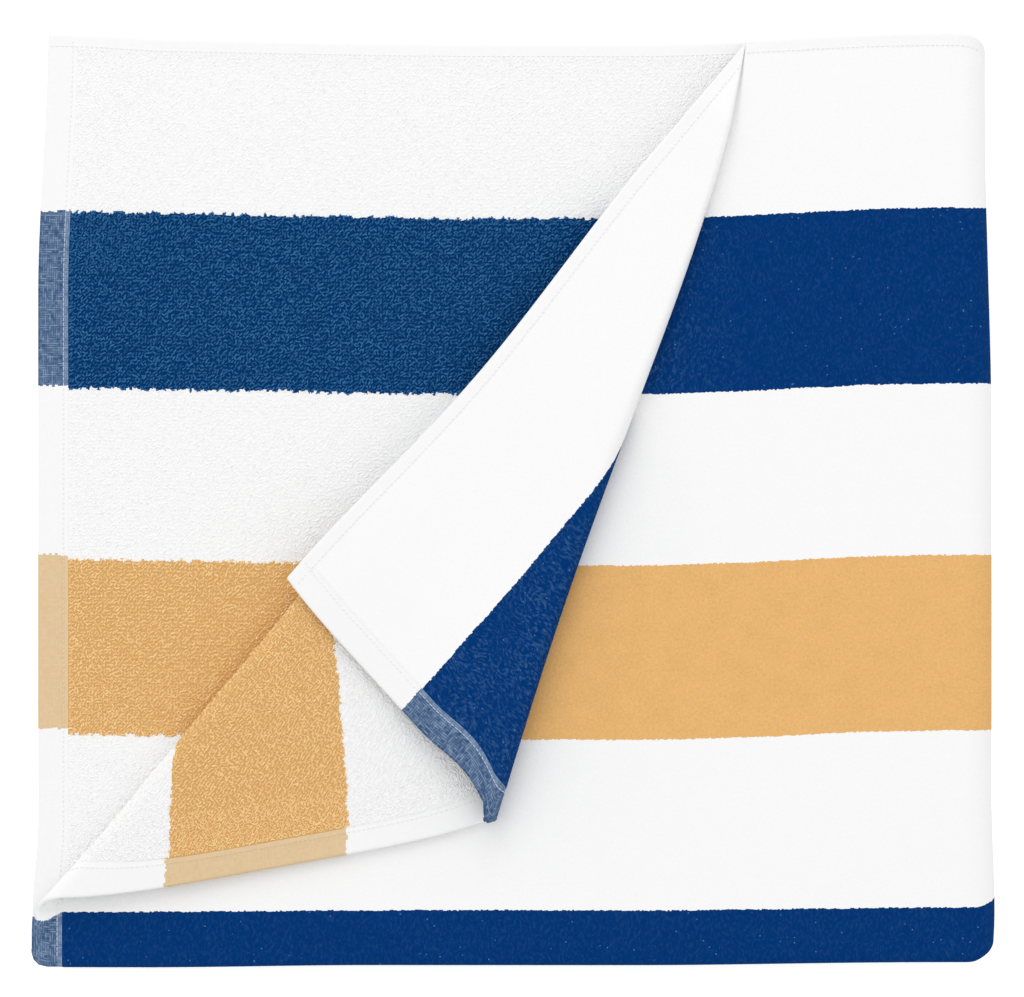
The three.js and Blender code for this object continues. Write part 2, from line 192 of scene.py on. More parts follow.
@dataclass(frozen=True)
class Layers:
    """The whole stack before its corner is turned back."""

    pair: FoldedPair = FoldedPair()
    selvage_y: float = 183.0
    fold_y: float = -184.7
    round_upper: float = 0.75
    round_lower: float = 0.7
    edge_reach: float = 55.0

    @property
    def half_radius(self) -> float:
        """Radius of the fold along the length."""
        return self.pair.cloth.pitch / 2

    @property
    def flat_half(self) -> float:
        """Width from a side edge to where the fold starts."""
        return self.selvage_y - self.fold_y

    @property
    def arc_end(self) -> float:
        """Width from the upper side edge to where the fold ends."""
        return self.flat_half + math.pi * self.half_radius

    @property
    def width(self) -> float:
        """The cloth's flat width."""
        return self.arc_end + self.flat_half

    def across(self, v: np.ndarray) -> tuple[np.ndarray, np.ndarray]:
        """Find the place in y and the side of the pair for distances across.

        Args:
            v: Distances from the upper side edge.

        Returns:
            Places in y, and heights over the middle of the pair.
        """
        r = self.half_radius
        angle = np.clip((v - self.flat_half) / r, 0, math.pi)
        past = np.maximum(v - self.arc_end, 0)
        y = self.selvage_y - np.minimum(v, self.flat_half) - r * np.sin(angle) + past
        return y, r * np.cos(angle)

    def point(self, u: np.ndarray, v: np.ndarray) -> np.ndarray:
        """Find points of the cloth's middle.

        Args:
            u: Distances from the upper end.
            v: Distances from the upper side edge.

        Returns:
            Points in millimetres.
        """
        u, v = np.broadcast_arrays(np.asarray(u, float), np.asarray(v, float))
        at = self.pair.place(u)
        y, lift = self.across(v)
        upper = self.round_upper * ramp(y, self.selvage_y - self.edge_reach, self.selvage_y)
        lower = self.round_lower * ramp(y, self.fold_y + self.edge_reach, self.fold_y)
        return stack(
            at["x"] + at["nx"] * lift,
            y + at["bend"] * (lower - upper),
            at["z"] + at["nz"] * lift,
        )


@dataclass(frozen=True)
class Crease:
    """A crease of the turned corner, from the apex to the end hem."""

    apex: tuple[float, float]
    end: tuple[float, float]
    flap_side: float
    far_radius: float
    run_before: float  # how the hem runs past the nose, for each unit of radius
    run_after: float
    bows: tuple[tuple[float, int, int], ...] = ()  # size, and powers of the share and its rest
    near_radius: float = 1.5

    @property
    def length(self) -> float:
        """Length of the crease."""
        return math.dist(self.apex, self.end)

    @property
    def along(self) -> np.ndarray:
        """Direction from the apex to the hem."""
        return (np.array(self.end) - self.apex) / self.length

    @property
    def inward(self) -> np.ndarray:
        """Direction from the nose over the flap."""
        dx, dy = self.along
        return np.array([-dy, dx]) * self.flap_side

    def radius(self, share: Values) -> Values:
        """Radius of the roll at a share of the crease."""
        return mix(self.near_radius, self.far_radius, smooth(share))

    def bow(self, share: Values) -> Values:
        """How far the crease bends away from its flap."""
        return sum(size * share**power * (1 - share) ** rest for size, power, rest in self.bows)

    def nose(self, share: Values) -> tuple[Values, Values]:
        """Place of the roll's outermost line.

        Args:
            share: Shares of the crease.

        Returns:
            Its x and its y.
        """
        bow = self.bow(share)
        x = mix(self.apex[0], self.end[0], share) - self.inward[0] * bow
        y = mix(self.apex[1], self.end[1], share) - self.inward[1] * bow
        return x, y

    def measure(self, x: Values, y: Values) -> tuple[Values, Values]:
        """Distance inward from the crease, and share along it, of places.

        Args:
            x: Places in x.
            y: Places in y.

        Returns:
            The distances and the shares.
        """
        dx, dy = x - self.apex[0], y - self.apex[1]
        side = dx * self.inward[0] + dy * self.inward[1]
        share = (dx * self.along[0] + dy * self.along[1]) / self.length
        return side + self.bow(np.clip(share, 0, 1)), share

    def turn(self, share: Values, angle: float, base: Values) -> np.ndarray:
        """Find points round the roll.

        Args:
            share: Shares of the crease.
            angle: Angle round the roll, from 0 underneath to pi on top.
            base: Height of the cloth that the roll rests on.

        Returns:
            Points in millimetres.
        """
        r = self.radius(share)
        inward = r * (1 - np.sin(angle))
        onward = r * mix(self.run_before, self.run_after, angle / math.pi)
        x, y = self.nose(share)
        return stack(
            x + self.inward[0] * inward + self.along[0] * onward,
            y + self.inward[1] * inward + self.along[1] * onward,
            base + r * (1 - np.cos(angle)),
        )


class Part(Enum):
    """Parts of the turned corner, in order from the cloth's own corner."""

    UPPER = 0
    SECOND_TURN = 1
    MIDDLE = 2
    FIRST_TURN = 3
    BASE = 4


@dataclass(frozen=True)
class TurnedCorner:
    """The top layer's corner, turned back along two creases from one apex."""

    layers: Layers = Layers()
    apex: tuple[float, float] = (92.8, 183.0)
    first_end: tuple[float, float] = (-190.3, -163.7)
    second_end: tuple[float, float] = (-8.2, -125.8)
    free_corner: tuple[float, float] = (-91.2, -32.4)
    spacing: float = 3.1
    settle_first: float = 34.0
    settle_second: float = 40.0
    pleat_start: float = 0.1
    press_end: float = 0.34
    hem_start: float = 0.9595  # share of the way from the apex at which the end hem starts
    edge_slack: float = 4.5  # how far the turned-back side edge is drawn in between its ends
    tongue_whole: float = 2.8  # how far the end hem is drawn out beside the second crease
    tongue_tip: float = 4.6  # and how far next to the fold itself
    second_ease: float = 8.0  # cloth taken up round the second crease, besides its roll
    first_ease: float = 13.6  # and round the first

    @property
    def first(self) -> Crease:
        """The crease across which the corner is first turned."""
        return Crease(self.apex, self.first_end, 1, 3.8, 1.23, -2.5, ((-15.0, 2, 1),))

    @property
    def second(self) -> Crease:
        """The crease across which it is turned back again."""
        return Crease(self.apex, self.second_end, -1, 5.6, 0.97, -0.97, ((57.0, 1, 3), (-9.5, 1, 1)))

    @property
    def apex_u(self) -> float:
        """Distance of the apex from the end of the cloth."""
        return self.apex[0] - self.layers.pair.left_end

    @property
    def top(self) -> float:
        """Height of the top layer's middle."""
        return 7 * self.layers.pair.cloth.pitch + self.layers.half_radius

    def settled(self, radius: Values, side: Values, reach: float) -> Values:
        """Height that a flap still has over its resting height."""
        over = np.maximum(0, side - radius) / reach
        return (2 * radius - self.spacing) / (1 + over * over)

    def middle_height(self, x: Values, y: Values) -> Values:
        """Height of the middle flap over the top layer."""
        side, share = self.first.measure(x, y)
        return self.spacing + self.settled(self.first.radius(share), side, self.settle_first)

    def upper_height(self, x: Values, y: Values) -> Values:
        """Height of the upper flap over the top layer."""
        side, share = self.second.measure(x, y)
        lift = self.settled(self.second.radius(share), side, self.settle_second)
        return self.middle_height(x, y) + self.spacing + lift

    def second_turn(self, share: Values, angle: float) -> np.ndarray:
        """Find points round the second crease."""
        foot = self.second.turn(share, 0, 0)
        return self.second.turn(share, angle, self.middle_height(foot[..., 0], foot[..., 1]))

    def side_edge(self, share: np.ndarray) -> np.ndarray:
        """Find points of the upper flap's side edge, drawn in between its ends.

        Args:
            share: Shares of the way from the apex to the hem.

        Returns:
            Points in plan, with height 0.
        """
        edge = np.array(self.free_corner) - self.apex
        normal = np.array([-edge[1], edge[0]]) / np.linalg.norm(edge)
        pull = (self.edge_slack * ramp(share, 0.2, 0.6) * ramp(share, 1.0, 0.6))[..., None]
        xy = self.apex + share[..., None] * edge + pull * normal
        return stack(xy[..., 0], xy[..., 1], 0.0)

    @staticmethod
    def outward(start: np.ndarray, end: np.ndarray) -> np.ndarray:
        """Direction across a ring, away from the apex.

        Args:
            start: Where the ring's flap starts.
            end: Where it ends.

        Returns:
            Directions in plan, of length one.
        """
        dx, dy = np.moveaxis(end[..., :2] - start[..., :2], -1, 0)
        normal = stack(dy, -dx) / np.hypot(dx, dy)[..., None]
        return normal * np.where(normal[..., 1:] > 0, -1, 1)

    def middle_fullness(self, share: np.ndarray, t: float) -> np.ndarray:
        """How far the middle flap's rings bulge towards the hem."""
        return 5.0 * ramp(share, 0.45, self.hem_start) - 1.7 * ramp(share, self.hem_start, 1.0)

    @staticmethod
    def upper_fullness(share: np.ndarray, t: float) -> np.ndarray:
        """How far the upper flap's rings bulge towards the hem."""
        return (1.7 * (1 - 0.55 * t) - 3.7 * ramp(t, 0.69, 0.94)) * ramp(share, 0.7, 1.0)

    def tongue(self, share: np.ndarray, part: Part, t: float) -> np.ndarray:
        """How far the upper flap is drawn along its crease, near the hem.

        Args:
            share: Shares of the way from the apex to the hem.
            part: Which part of the corner.
            t: Place within the part, from 0 to 1.

        Returns:
            Distances towards the hem, in millimetres.
        """
        if part not in (Part.UPPER, Part.SECOND_TURN):
            return np.zeros_like(share)
        angle = math.pi * (1 - t) if part is Part.SECOND_TURN else math.pi
        drawn = ramp(angle, 0.6, 1.6) if part is Part.SECOND_TURN else max(0.0, (t - 0.72) / 0.28) ** 2.4
        tip = ramp(angle, 1.8, 2.5) * ramp(angle, math.pi, 2.75)
        hem = ramp(share, 0.84, 0.95) * mix(1, 0.8, ramp(share, self.hem_start, 1.0))
        return self.tongue_whole * drawn * hem + self.tongue_tip * tip * ramp(share, 0.95, 1.0)

    def folded(self, share: np.ndarray, part: Part, t: float) -> np.ndarray:
        """Find points on the rings of the folded corner, over the top layer.

        Args:
            share: Shares of the way from the apex to the hem.
            part: Which part of the corner.
            t: Place within the part, from 0 to 1.

        Returns:
            Points in millimetres.
        """
        if part is Part.FIRST_TURN:
            return self.first.turn(share, math.pi * (1 - t), 0)
        if part is Part.SECOND_TURN:
            return self.second_turn(share, math.pi * (1 - t))
        if part is Part.MIDDLE:
            start, end = self.second_turn(share, 0), self.first.turn(share, math.pi, 0)
            height, full = self.middle_height, self.middle_fullness
        else:
            start, end = self.side_edge(share), self.second_turn(share, math.pi)
            height, full = self.upper_height, self.upper_fullness
        p = mix(start, end, t)
        p[..., :2] += full(share, t)[..., None] * (1 - (2 * t - 1) ** 4) * self.outward(start, end)
        p[..., 2] = height(p[..., 0], p[..., 1])
        return p

    def point(self, share: np.ndarray, part: Part, t: float) -> np.ndarray:
        """Find points of the turned corner; next to the apex it narrows to a point.

        Args:
            share: Shares of the way from the apex to the hem.
            part: Which part of the corner.
            t: Place within the part, from 0 to 1.

        Returns:
            Points in millimetres.
        """
        p = self.folded(np.maximum(share, self.pleat_start), part, t)
        p[..., :2] += self.tongue(share, part, t)[..., None] * self.second.along
        near = np.minimum(1, share / self.pleat_start)
        p[..., 0] = mix(self.apex[0], p[..., 0], near)
        p[..., 1] = mix(self.apex[1], p[..., 1], near)
        p[..., 2] = self.top + p[..., 2] * near
        return p

    def foot_angle(self, share: Values) -> Values:
        """Angle about the apex of the first crease's foot."""
        foot = self.first.turn(np.maximum(share, self.pleat_start), 0, 0)
        return np.arctan2(self.apex[1] - foot[..., 1], self.apex[0] - foot[..., 0])

    def resting_flat(self, share: np.ndarray, hem_angle: float) -> tuple[np.ndarray, ...]:
        """Find flat places on a ray of the layer that stays down.

        Args:
            share: Shares of the way from the apex to the edge.
            hem_angle: The ray's angle where it meets the edge.

        Returns:
            Distances u and v, and the ray's angle at each share.
        """
        whole = float(self.foot_angle(np.array(1.0)))
        place = (hem_angle - whole) / (math.pi / 2 - whole)
        angle = mix(self.foot_angle(share), math.pi / 2, place)
        edge = np.minimum(
            self.apex_u / np.maximum(np.cos(angle), 1e-9), self.layers.flat_half / np.sin(angle)
        )
        reach = share * edge
        return self.apex_u - reach * np.cos(angle), reach * np.sin(angle), angle

    def gold_places(self, share: np.ndarray) -> tuple[np.ndarray, np.ndarray]:
        """Where the gold stripe starts and ends on the middle flap.

        The stripe keeps its width while the flap narrows to the apex, so both places move on towards the
        first crease. The hem's stripe lies a little nearer to that crease than the pile's.

        Args:
            share: Shares of the way from the apex to the hem.

        Returns:
            The start and the end, as parts of the way from the second crease to the first.
        """
        rest = 1 - share
        in_hem = share > self.hem_start
        start = (0.316 + 0.7 * rest + 0.4 * rest**2) / share + 0.015 * in_hem
        end = 0.75 + 1.52 * rest + 1.1 * rest**2 + 0.025 * in_hem
        return np.minimum(1, start), np.minimum(1, end)

    def flat_v(self, share: np.ndarray, part: Part, t: float) -> np.ndarray:
        """Distance v on the flat cloth of points of the folded corner.

        Args:
            share: Shares of the way from the apex to the hem.
            part: Which part of the corner.
            t: Place within the part, from 0 to 1.

        Returns:
            Distances from the upper side edge.
        """
        f = np.maximum(share, self.pleat_start)
        near = np.minimum(1, share / self.pleat_start)
        straight = np.array(self.apex) + f[..., None] * (np.array(self.free_corner) - self.apex)
        upper = np.linalg.norm(self.second_turn(f, math.pi)[..., :2] - straight, axis=-1)
        hidden = upper + math.pi * self.second.radius(f)
        hidden = hidden + self.second_ease * ramp(f, 0.35, 0.5) * ramp(f, 0.68, 0.55)
        hidden = np.maximum(hidden, (STRIPES.navy[1] + 1.5) * ramp(f, 0.82, 0.93))
        foot = f * self.apex_u * np.tan(self.foot_angle(f))
        top = foot - math.pi * self.first.radius(f) - self.first_ease * ramp(f, 0.3, 0.55)
        if part is Part.UPPER:
            return near * upper * t
        if part is Part.SECOND_TURN:
            return near * mix(upper, hidden, t)
        if part is Part.FIRST_TURN:
            return near * mix(top, foot, t)
        v = mix(hidden, top, t)
        for i, level in np.ndenumerate(top):
            knots = [(0.0, hidden[i])]
            for place, edge in zip(self.gold_places(f), STRIPES.gold):
                if level > edge + 1 and place[i] < 0.995:
                    knots.append((float(place[i]), edge))
            knots.append((1.0, level))
            v[i] = np.interp(t, *zip(*knots))
        return near * v

    def thickness(self, share: np.ndarray, angle: Values) -> np.ndarray:
        """Share of the cloth's thickness about the apex.

        Args:
            share: Shares of the way from the apex to the hem.
            angle: Angle about the apex, which presses only the turned part.

        Returns:
            Shares of the full thickness.
        """
        near = np.minimum(1, share / self.pleat_start)
        pressed = self.layers.pair.cloth.pressed * (1 - smooth(share / self.press_end))
        return mix((1 - pressed) * near, 1, ramp(angle, 1.4, 1.5))


@dataclass(frozen=True)
class Stripes:
    """Widths of the woven stripes from a side edge to the middle, in millimetres."""

    navy: tuple[float, float] = (69.6, 140.4)
    gold: tuple[float, float] = (209.3, 279.5)
    centre: float = 348.1
    hem_draw: float = 0.009  # how much the hems are drawn in, for each unit of width
    hem_slant: float = 6.5  # how far the centre's border slants down to the end

    def dyed(self, width: np.ndarray) -> np.ndarray:
        """Tell whether places so far from the side edge are navy or gold."""
        first, second = ((low < width) & (width < high) for low, high in (self.navy, self.gold))
        return first | second | (width > self.centre)


STRIPES = Stripes()


@dataclass(frozen=True)
class Shift:
    """A slow shift of the whole stack, between two x and two y values."""

    axis: int
    by: float
    x: tuple[float, float]
    y: tuple[float, float]
    least: float = 0.0


@dataclass(frozen=True)
class Lie:
    """How the folded towel lies: shifts in plan, and the softness of its layers."""

    layers: Layers = Layers()
    shifts: tuple[Shift, ...] = (
        Shift(1, 2.4, (-10, -190), (-165, -75)),
        Shift(1, 4.2, (50, 170), (-165, -75), 0.3),
        Shift(1, -0.9, (-60, -150), (-140, -180)),
        Shift(1, 1.8, (-140, -190), (90, 180)),
        Shift(0, 4.0, (-60, -190), (80, 185)),
        Shift(0, -2.4, (-100, -190), (-130, -170)),
        Shift(0, -2.6, (60, 190), (20, 150)),
        Shift(0, 1.2, (60, 190), (-120, -165)),
    )
    corner_radius: float = 5.0
    loft: float = 0.05
    flatten: float = 0.04
    wave: float = 0.35  # height of the slow waves in the top layers
    wave_lengths: tuple[float, float, float, float] = (31.0, 47.0, 38.0, 90.0)
    stack_height: float = 24.0

    def apply(self, points: np.ndarray) -> np.ndarray:
        """Shift points of the stack, which rest on its lowest layer at half the pile.

        Args:
            points: Points in millimetres.

        Returns:
            The shifted points.
        """
        p = points.copy()
        rest = self.layers.pair.cloth.pile / 2
        p[..., 2] += rest - self.layers.half_radius
        x, y = points[..., 0], points[..., 1]
        for s in self.shifts:
            p[..., s.axis] += s.by * ramp(x, *s.x) * mix(s.least, 1, ramp(y, *s.y))
        in_x = np.maximum(0, x - self.layers.pair.left_end)
        pull = self.corner_radius - np.sqrt(
            np.maximum(0, self.corner_radius**2 - np.maximum(0, self.corner_radius - in_x) ** 2)
        )
        reach = self.layers.edge_reach
        p[..., 1] += pull * ramp(y, self.layers.fold_y + reach, self.layers.fold_y)
        over = p[..., 2] - rest
        long, bend, short, drift = self.wave_lengths
        wave = self.wave * np.sin(x / long + 0.9 * np.sin(y / bend)) * np.sin(y / short + x / drift)
        p[..., 2] += over * (self.loft * ramp(x, 100, 180) - self.flatten * ramp(x, -140, -190))
        p[..., 2] += wave * np.clip(over / self.stack_height, 0, 1) ** 2
        return p


# ---- The sheet as grids of points -------------------------------------------


@dataclass
class Patch:
    """A grid of the sheet: rows of points with their flat places and thicknesses."""

    points: np.ndarray
    flat: np.ndarray
    thickness: np.ndarray
    cells: np.ndarray  # corner indices of each kept cell, in the patch's own numbering
    parts: np.ndarray = field(default_factory=lambda: np.array([]))


@dataclass(frozen=True)
class Fineness:
    """Numbers of grid lines in each stretch of the cloth."""

    rings: int = 72
    corner_columns: int = 58
    run: int = 18
    last_run: int = 17
    wide_turn: int = 18
    tight_turn: int = 12
    long_fold: int = 9
    lower_rows: int = 62
    upper_flap: int = 32
    second_turn: int = 14
    middle_flap: int = 46
    first_turn: int = 12
    foot: int = 4


@dataclass(frozen=True)
class Mesher:
    """Chooses the grid's lines and works out its points."""

    corner: TurnedCorner = TurnedCorner()
    lie: Lie = Lie()
    fine: Fineness = Fineness()
    crossing_reach: float = 12.0  # how far from the lengthwise fold the crossing is pressed
    hem_lines: tuple[float, ...] = (0.0, 0.7, 2.5, 5.5, 8.5, 11.3, 12.0, 12.5)
    # Lines beside the upper side edge, as shares of half the width, and of the upper flap.
    side_lines: tuple[float, ...] = (0.0, 0.0025, 0.0065, 0.011, 0.0136, 0.0155, 0.02, 0.03, 0.042)
    flap_lines: tuple[float, ...] = (0.0, 0.008, 0.02, 0.034, 0.0435, 0.05)
    lower_side_width: float = 368.0  # what the lower side's six lines are shares of

    @property
    def layers(self) -> Layers:
        """The stack's layout."""
        return self.corner.layers

    def rings(self) -> np.ndarray:
        """Shares of the way from the apex where the corner has a ring of points."""
        near_hem = [1 - u / self.corner.apex_u for u in reversed(self.hem_lines)]
        between = steps(self.side_lines[-1], near_hem[0], self.fine.rings)[:-1]
        return np.array([*self.side_lines, *between, *near_hem])

    def columns(self) -> np.ndarray:
        """Distances along the cloth where it has a line of points.

        Returns:
            The distances from the upper end.
        """
        apex_u = self.corner.apex_u
        lines = [*self.hem_lines, *steps(self.hem_lines[-1], apex_u, self.fine.corner_columns)]
        start, legs = 0.0, self.layers.pair.legs()
        for i, leg in enumerate(legs):
            end = start + leg.length
            if i == 0:
                lines += steps(apex_u, end, self.fine.run)
            elif leg.radius:
                wide = leg.radius > self.layers.pair.cloth.pitch
                lines += steps(start, end, self.fine.wide_turn if wide else self.fine.tight_turn)
            elif i == len(legs) - 1:
                hem = [end - u for u in reversed(self.hem_lines)]
                lines += [*steps(start, hem[0], self.fine.last_run)[:-1], *hem]
            else:
                lines += steps(start, end, self.fine.run)
            start = end
        return np.array(lines)

    @property
    def apex_column(self) -> int:
        """Number of the line through the apex."""
        return int(np.argmin(abs(self.columns() - self.corner.apex_u)))

    def rows(self) -> np.ndarray:
        """Distances across the cloth where it has a line of points.

        Returns:
            The distances from the upper side edge.
        """
        layers = self.layers
        side = [layers.width - self.lower_side_width * share for share in reversed(self.side_lines[:6])]
        return np.array([
            *(self.rings() * layers.flat_half),
            *steps(layers.flat_half, layers.arc_end, self.fine.long_fold),
            *steps(layers.arc_end, side[0], self.fine.lower_rows)[:-1],
            *side,
        ])  # fmt: skip

    def sheet_thickness(self, u: np.ndarray, v: np.ndarray) -> np.ndarray:
        """Share of thickness, less where the lengthwise fold goes round the wide turn.

        Args:
            u: Distances from the upper end.
            v: Distances from the upper side edge.

        Returns:
            Shares of the full thickness.
        """
        fold = smooth(1 - abs(v - self.layers.width / 2) / self.crossing_reach)
        bend = self.layers.pair.place(u)["bend"]
        share = 1 - self.layers.pair.cloth.pressed * fold * smooth(bend / 2)
        return np.where((abs(u - self.corner.apex_u) < 1e-6) & (v == 0), 0.0, share)

    def cloth_thickness(self, u: np.ndarray) -> np.ndarray:
        """Thickness of the cloth at distances from the upper end."""
        cloth = self.layers.pair.cloth
        from_end = np.minimum(u, self.layers.pair.length - u)
        return np.where(from_end < cloth.end_hem + 0.1, cloth.hem, cloth.pile)

    @staticmethod
    def grid_cells(keep: np.ndarray) -> np.ndarray:
        """Number the four corners of the kept cells of a grid.

        Args:
            keep: Which cells are kept.

        Returns:
            Corner numbers, four for each kept cell.
        """
        columns = keep.shape[1] + 1
        i, j = np.nonzero(keep)
        first = i * columns + j
        return np.stack([first, first + 1, first + columns + 1, first + columns], axis=-1)

    def main(self) -> Patch:
        """Make the grid of all but the turned corner.

        Returns:
            The grid.
        """
        us, vs, last = self.columns(), self.rows(), len(self.rings()) - 1
        u, v = np.meshgrid(us, vs, indexing="ij")
        keep = np.ones((len(us) - 1, len(vs) - 1), bool)
        keep[: self.apex_column, :last] = False
        points = self.lie.apply(self.layers.point(u, v))
        thickness = self.cloth_thickness(u) * self.sheet_thickness(u, v)
        return Patch(points, stack(u, v), thickness, self.grid_cells(keep))

    def rays(self) -> list[tuple[Part, float, float]]:
        """List the corner's rays: part, place t, and for the base its angle.

        Returns:
            For each ray its part, its place in the part and, for the base, its angle at the edge.
        """
        corner, layers, fine = self.corner, self.layers, self.fine
        foot_v = layers.selvage_y - float(corner.first.turn(np.array(1.0), 0, 0)[1])
        rays = [(Part.UPPER, t, 0.0) for t in self.flap_lines]
        for part, start, count in (
            (Part.UPPER, self.flap_lines[-1], fine.upper_flap),
            (Part.SECOND_TURN, 0, fine.second_turn),
            (Part.MIDDLE, 0, fine.middle_flap),
            (Part.FIRST_TURN, 0, fine.first_turn),
        ):
            rays += [(part, t, 0.0) for t in steps(start, 1, count)]
        edge = [(0.0, v) for v in steps(foot_v, layers.flat_half, fine.foot)[:-1]]
        edge += [(u, layers.flat_half) for u in self.columns()[: self.apex_column + 1]]
        rays += [(Part.BASE, 0.0, math.atan2(v, corner.apex_u - u)) for u, v in edge]
        return rays

    def turned(self) -> Patch:
        """Make the grid of rays and rings of the turned corner.

        Returns:
            The grid.
        """
        corner, rings = self.corner, self.rings()
        points, flat, thickness, parts = [], [], [], []
        for part, t, hem_angle in self.rays():
            if part is Part.BASE:
                u, v, angle = corner.resting_flat(rings, hem_angle)
                p, share = self.layers.point(u, v), corner.thickness(rings, angle)
            else:
                u, v = corner.apex_u * (1 - rings), corner.flat_v(rings, part, t)
                p, share = corner.point(rings, part, t), corner.thickness(rings, 0.0)
            points.append(self.lie.apply(p))
            flat.append(stack(u, v))
            thickness.append(self.cloth_thickness(u) * share)
            parts.append(np.full(len(rings), part.value))
        keep = np.ones((len(points) - 1, len(rings) - 1), bool)
        arrays = [np.array(rows) for rows in (points, flat, thickness)]
        return Patch(*arrays, self.grid_cells(keep), np.array(parts))


@dataclass
class Surface:
    """One face of the cloth as a welded mesh: points, directions and flat places."""

    points: np.ndarray
    normals: np.ndarray
    flat: np.ndarray
    thickness: np.ndarray
    cells: np.ndarray
    parts: np.ndarray

    def face(self, side: float, sink: Values = 0.0) -> np.ndarray:
        """Find points on a face of the cloth.

        Args:
            side: 1 for the velour face, -1 for the terry face.
            sink: Depth under the cloth's own face.

        Returns:
            Points in millimetres.
        """
        reach = np.maximum(self.thickness / 2 - sink * np.minimum(1, self.thickness), 0)
        return self.points + self.normals * (side * reach)[:, None]

    def edge(self) -> np.ndarray:
        """List the sheet's open edges as pairs of points, in the cells' direction.

        Returns:
            Pairs of point numbers, one for each open edge.
        """
        pairs = np.stack([self.cells, np.roll(self.cells, -1, axis=1)], axis=-1).reshape(-1, 2)
        pairs = pairs[pairs[:, 0] != pairs[:, 1]]
        count = len(self.points)
        forward, back = pairs[:, 0] * count + pairs[:, 1], pairs[:, 1] * count + pairs[:, 0]
        return pairs[~np.isin(forward, back)]


def weld(patches: list[Patch], close: float = 1e-3) -> Surface:
    """Join grids at their common points and work out the sheet's directions.

    Args:
        patches: Grids of the sheet.
        close: Points nearer than this are one, in millimetres.

    Returns:
        The welded sheet.
    """
    points = np.concatenate([p.points.reshape(-1, 3) for p in patches])
    flat = np.concatenate([p.flat.reshape(-1, 2) for p in patches])
    thickness = np.concatenate([p.thickness.ravel() for p in patches])
    parts = np.concatenate([
        p.parts.ravel() if p.parts.size else np.full(p.points[..., 0].size, -1) for p in patches
    ])  # fmt: skip
    offsets = np.cumsum([0] + [p.points[..., 0].size for p in patches[:-1]])
    cells = np.concatenate([p.cells + start for p, start in zip(patches, offsets)])
    _, first, where = np.unique(
        np.round(points / close).astype(np.int64), axis=0, return_index=True, return_inverse=True
    )
    cells = where.reshape(-1)[cells]
    used, cells = np.unique(cells, return_inverse=True)
    first, cells = first[used], cells.reshape(-1, 4)
    points, flat, thickness = points[first], flat[first], thickness[first]
    a, b, c, d = (points[cells[:, i]] for i in range(4))
    cross = unit(np.cross(c - a, d - b))
    normals = np.zeros_like(points)
    for i in range(4):
        np.add.at(normals, cells[:, i], cross)
    return Surface(points, unit(normals), flat, thickness, cells, parts[first])


# ---- Meshes -----------------------------------------------------------------


class Frame:
    """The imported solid's box, which every piece is centred on."""

    def __init__(self) -> None:
        """Read the towel's box."""
        low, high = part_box("towel")
        self.low, self.high = np.array(low), np.array(high)
        self.shift = np.zeros(3)

    def centre(self, points: np.ndarray) -> None:
        """Settle the shift that centres the sheet on the box, in metres."""
        low, high = points.min(axis=0) * MM, points.max(axis=0) * MM
        self.shift[:2] = ((self.low + self.high) / 2 - (low + high) / 2)[:2]
        self.shift[2] = -low[2]

    def metres(self, points: np.ndarray) -> np.ndarray:
        """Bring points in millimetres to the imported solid's own place."""
        return points * MM + self.shift


def link_mesh(
    name: str,
    points: np.ndarray,
    faces: list,
    flat: np.ndarray,
    tint_and_shade: np.ndarray | None = None,
) -> bpy.types.Object:
    """Make a smooth mesh object with its flat-cloth map.

    Args:
        name: The object's name.
        points: Its points, in metres.
        faces: Corner numbers of each face.
        flat: Flat place of each point, in millimetres.
        tint_and_shade: A value of each point's own, from 0 to 1; on the loops it is a random tint times
            painted shade, lower at their feet.

    Returns:
        The new object.
    """
    mesh = bpy.data.meshes.new(name)
    mesh.from_pydata(points.tolist(), [], faces)
    mesh.update()
    corners = np.empty(len(mesh.loops), np.int32)
    mesh.loops.foreach_get("vertex_index", corners)
    uv = mesh.uv_layers.new(name=CLOTH_UV)
    uv.data.foreach_set("uv", (flat[corners] * MM).astype(np.float32).ravel())
    if tint_and_shade is not None:
        mesh.attributes.new("tint_and_shade", "FLOAT", "POINT").data.foreach_set("value", tint_and_shade)
    mesh.polygons.foreach_set("use_smooth", np.ones(len(mesh.polygons), bool))
    obj = bpy.data.objects.new(name, mesh)
    bpy.context.scene.collection.objects.link(obj)
    return obj


def settle(obj: bpy.types.Object) -> None:
    """Ride a piece on the towel's body and log its number of faces.

    Args:
        obj: The piece.
    """
    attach(obj, BODY)
    LOG.info("%s: %d faces", obj.name, len(obj.data.polygons))


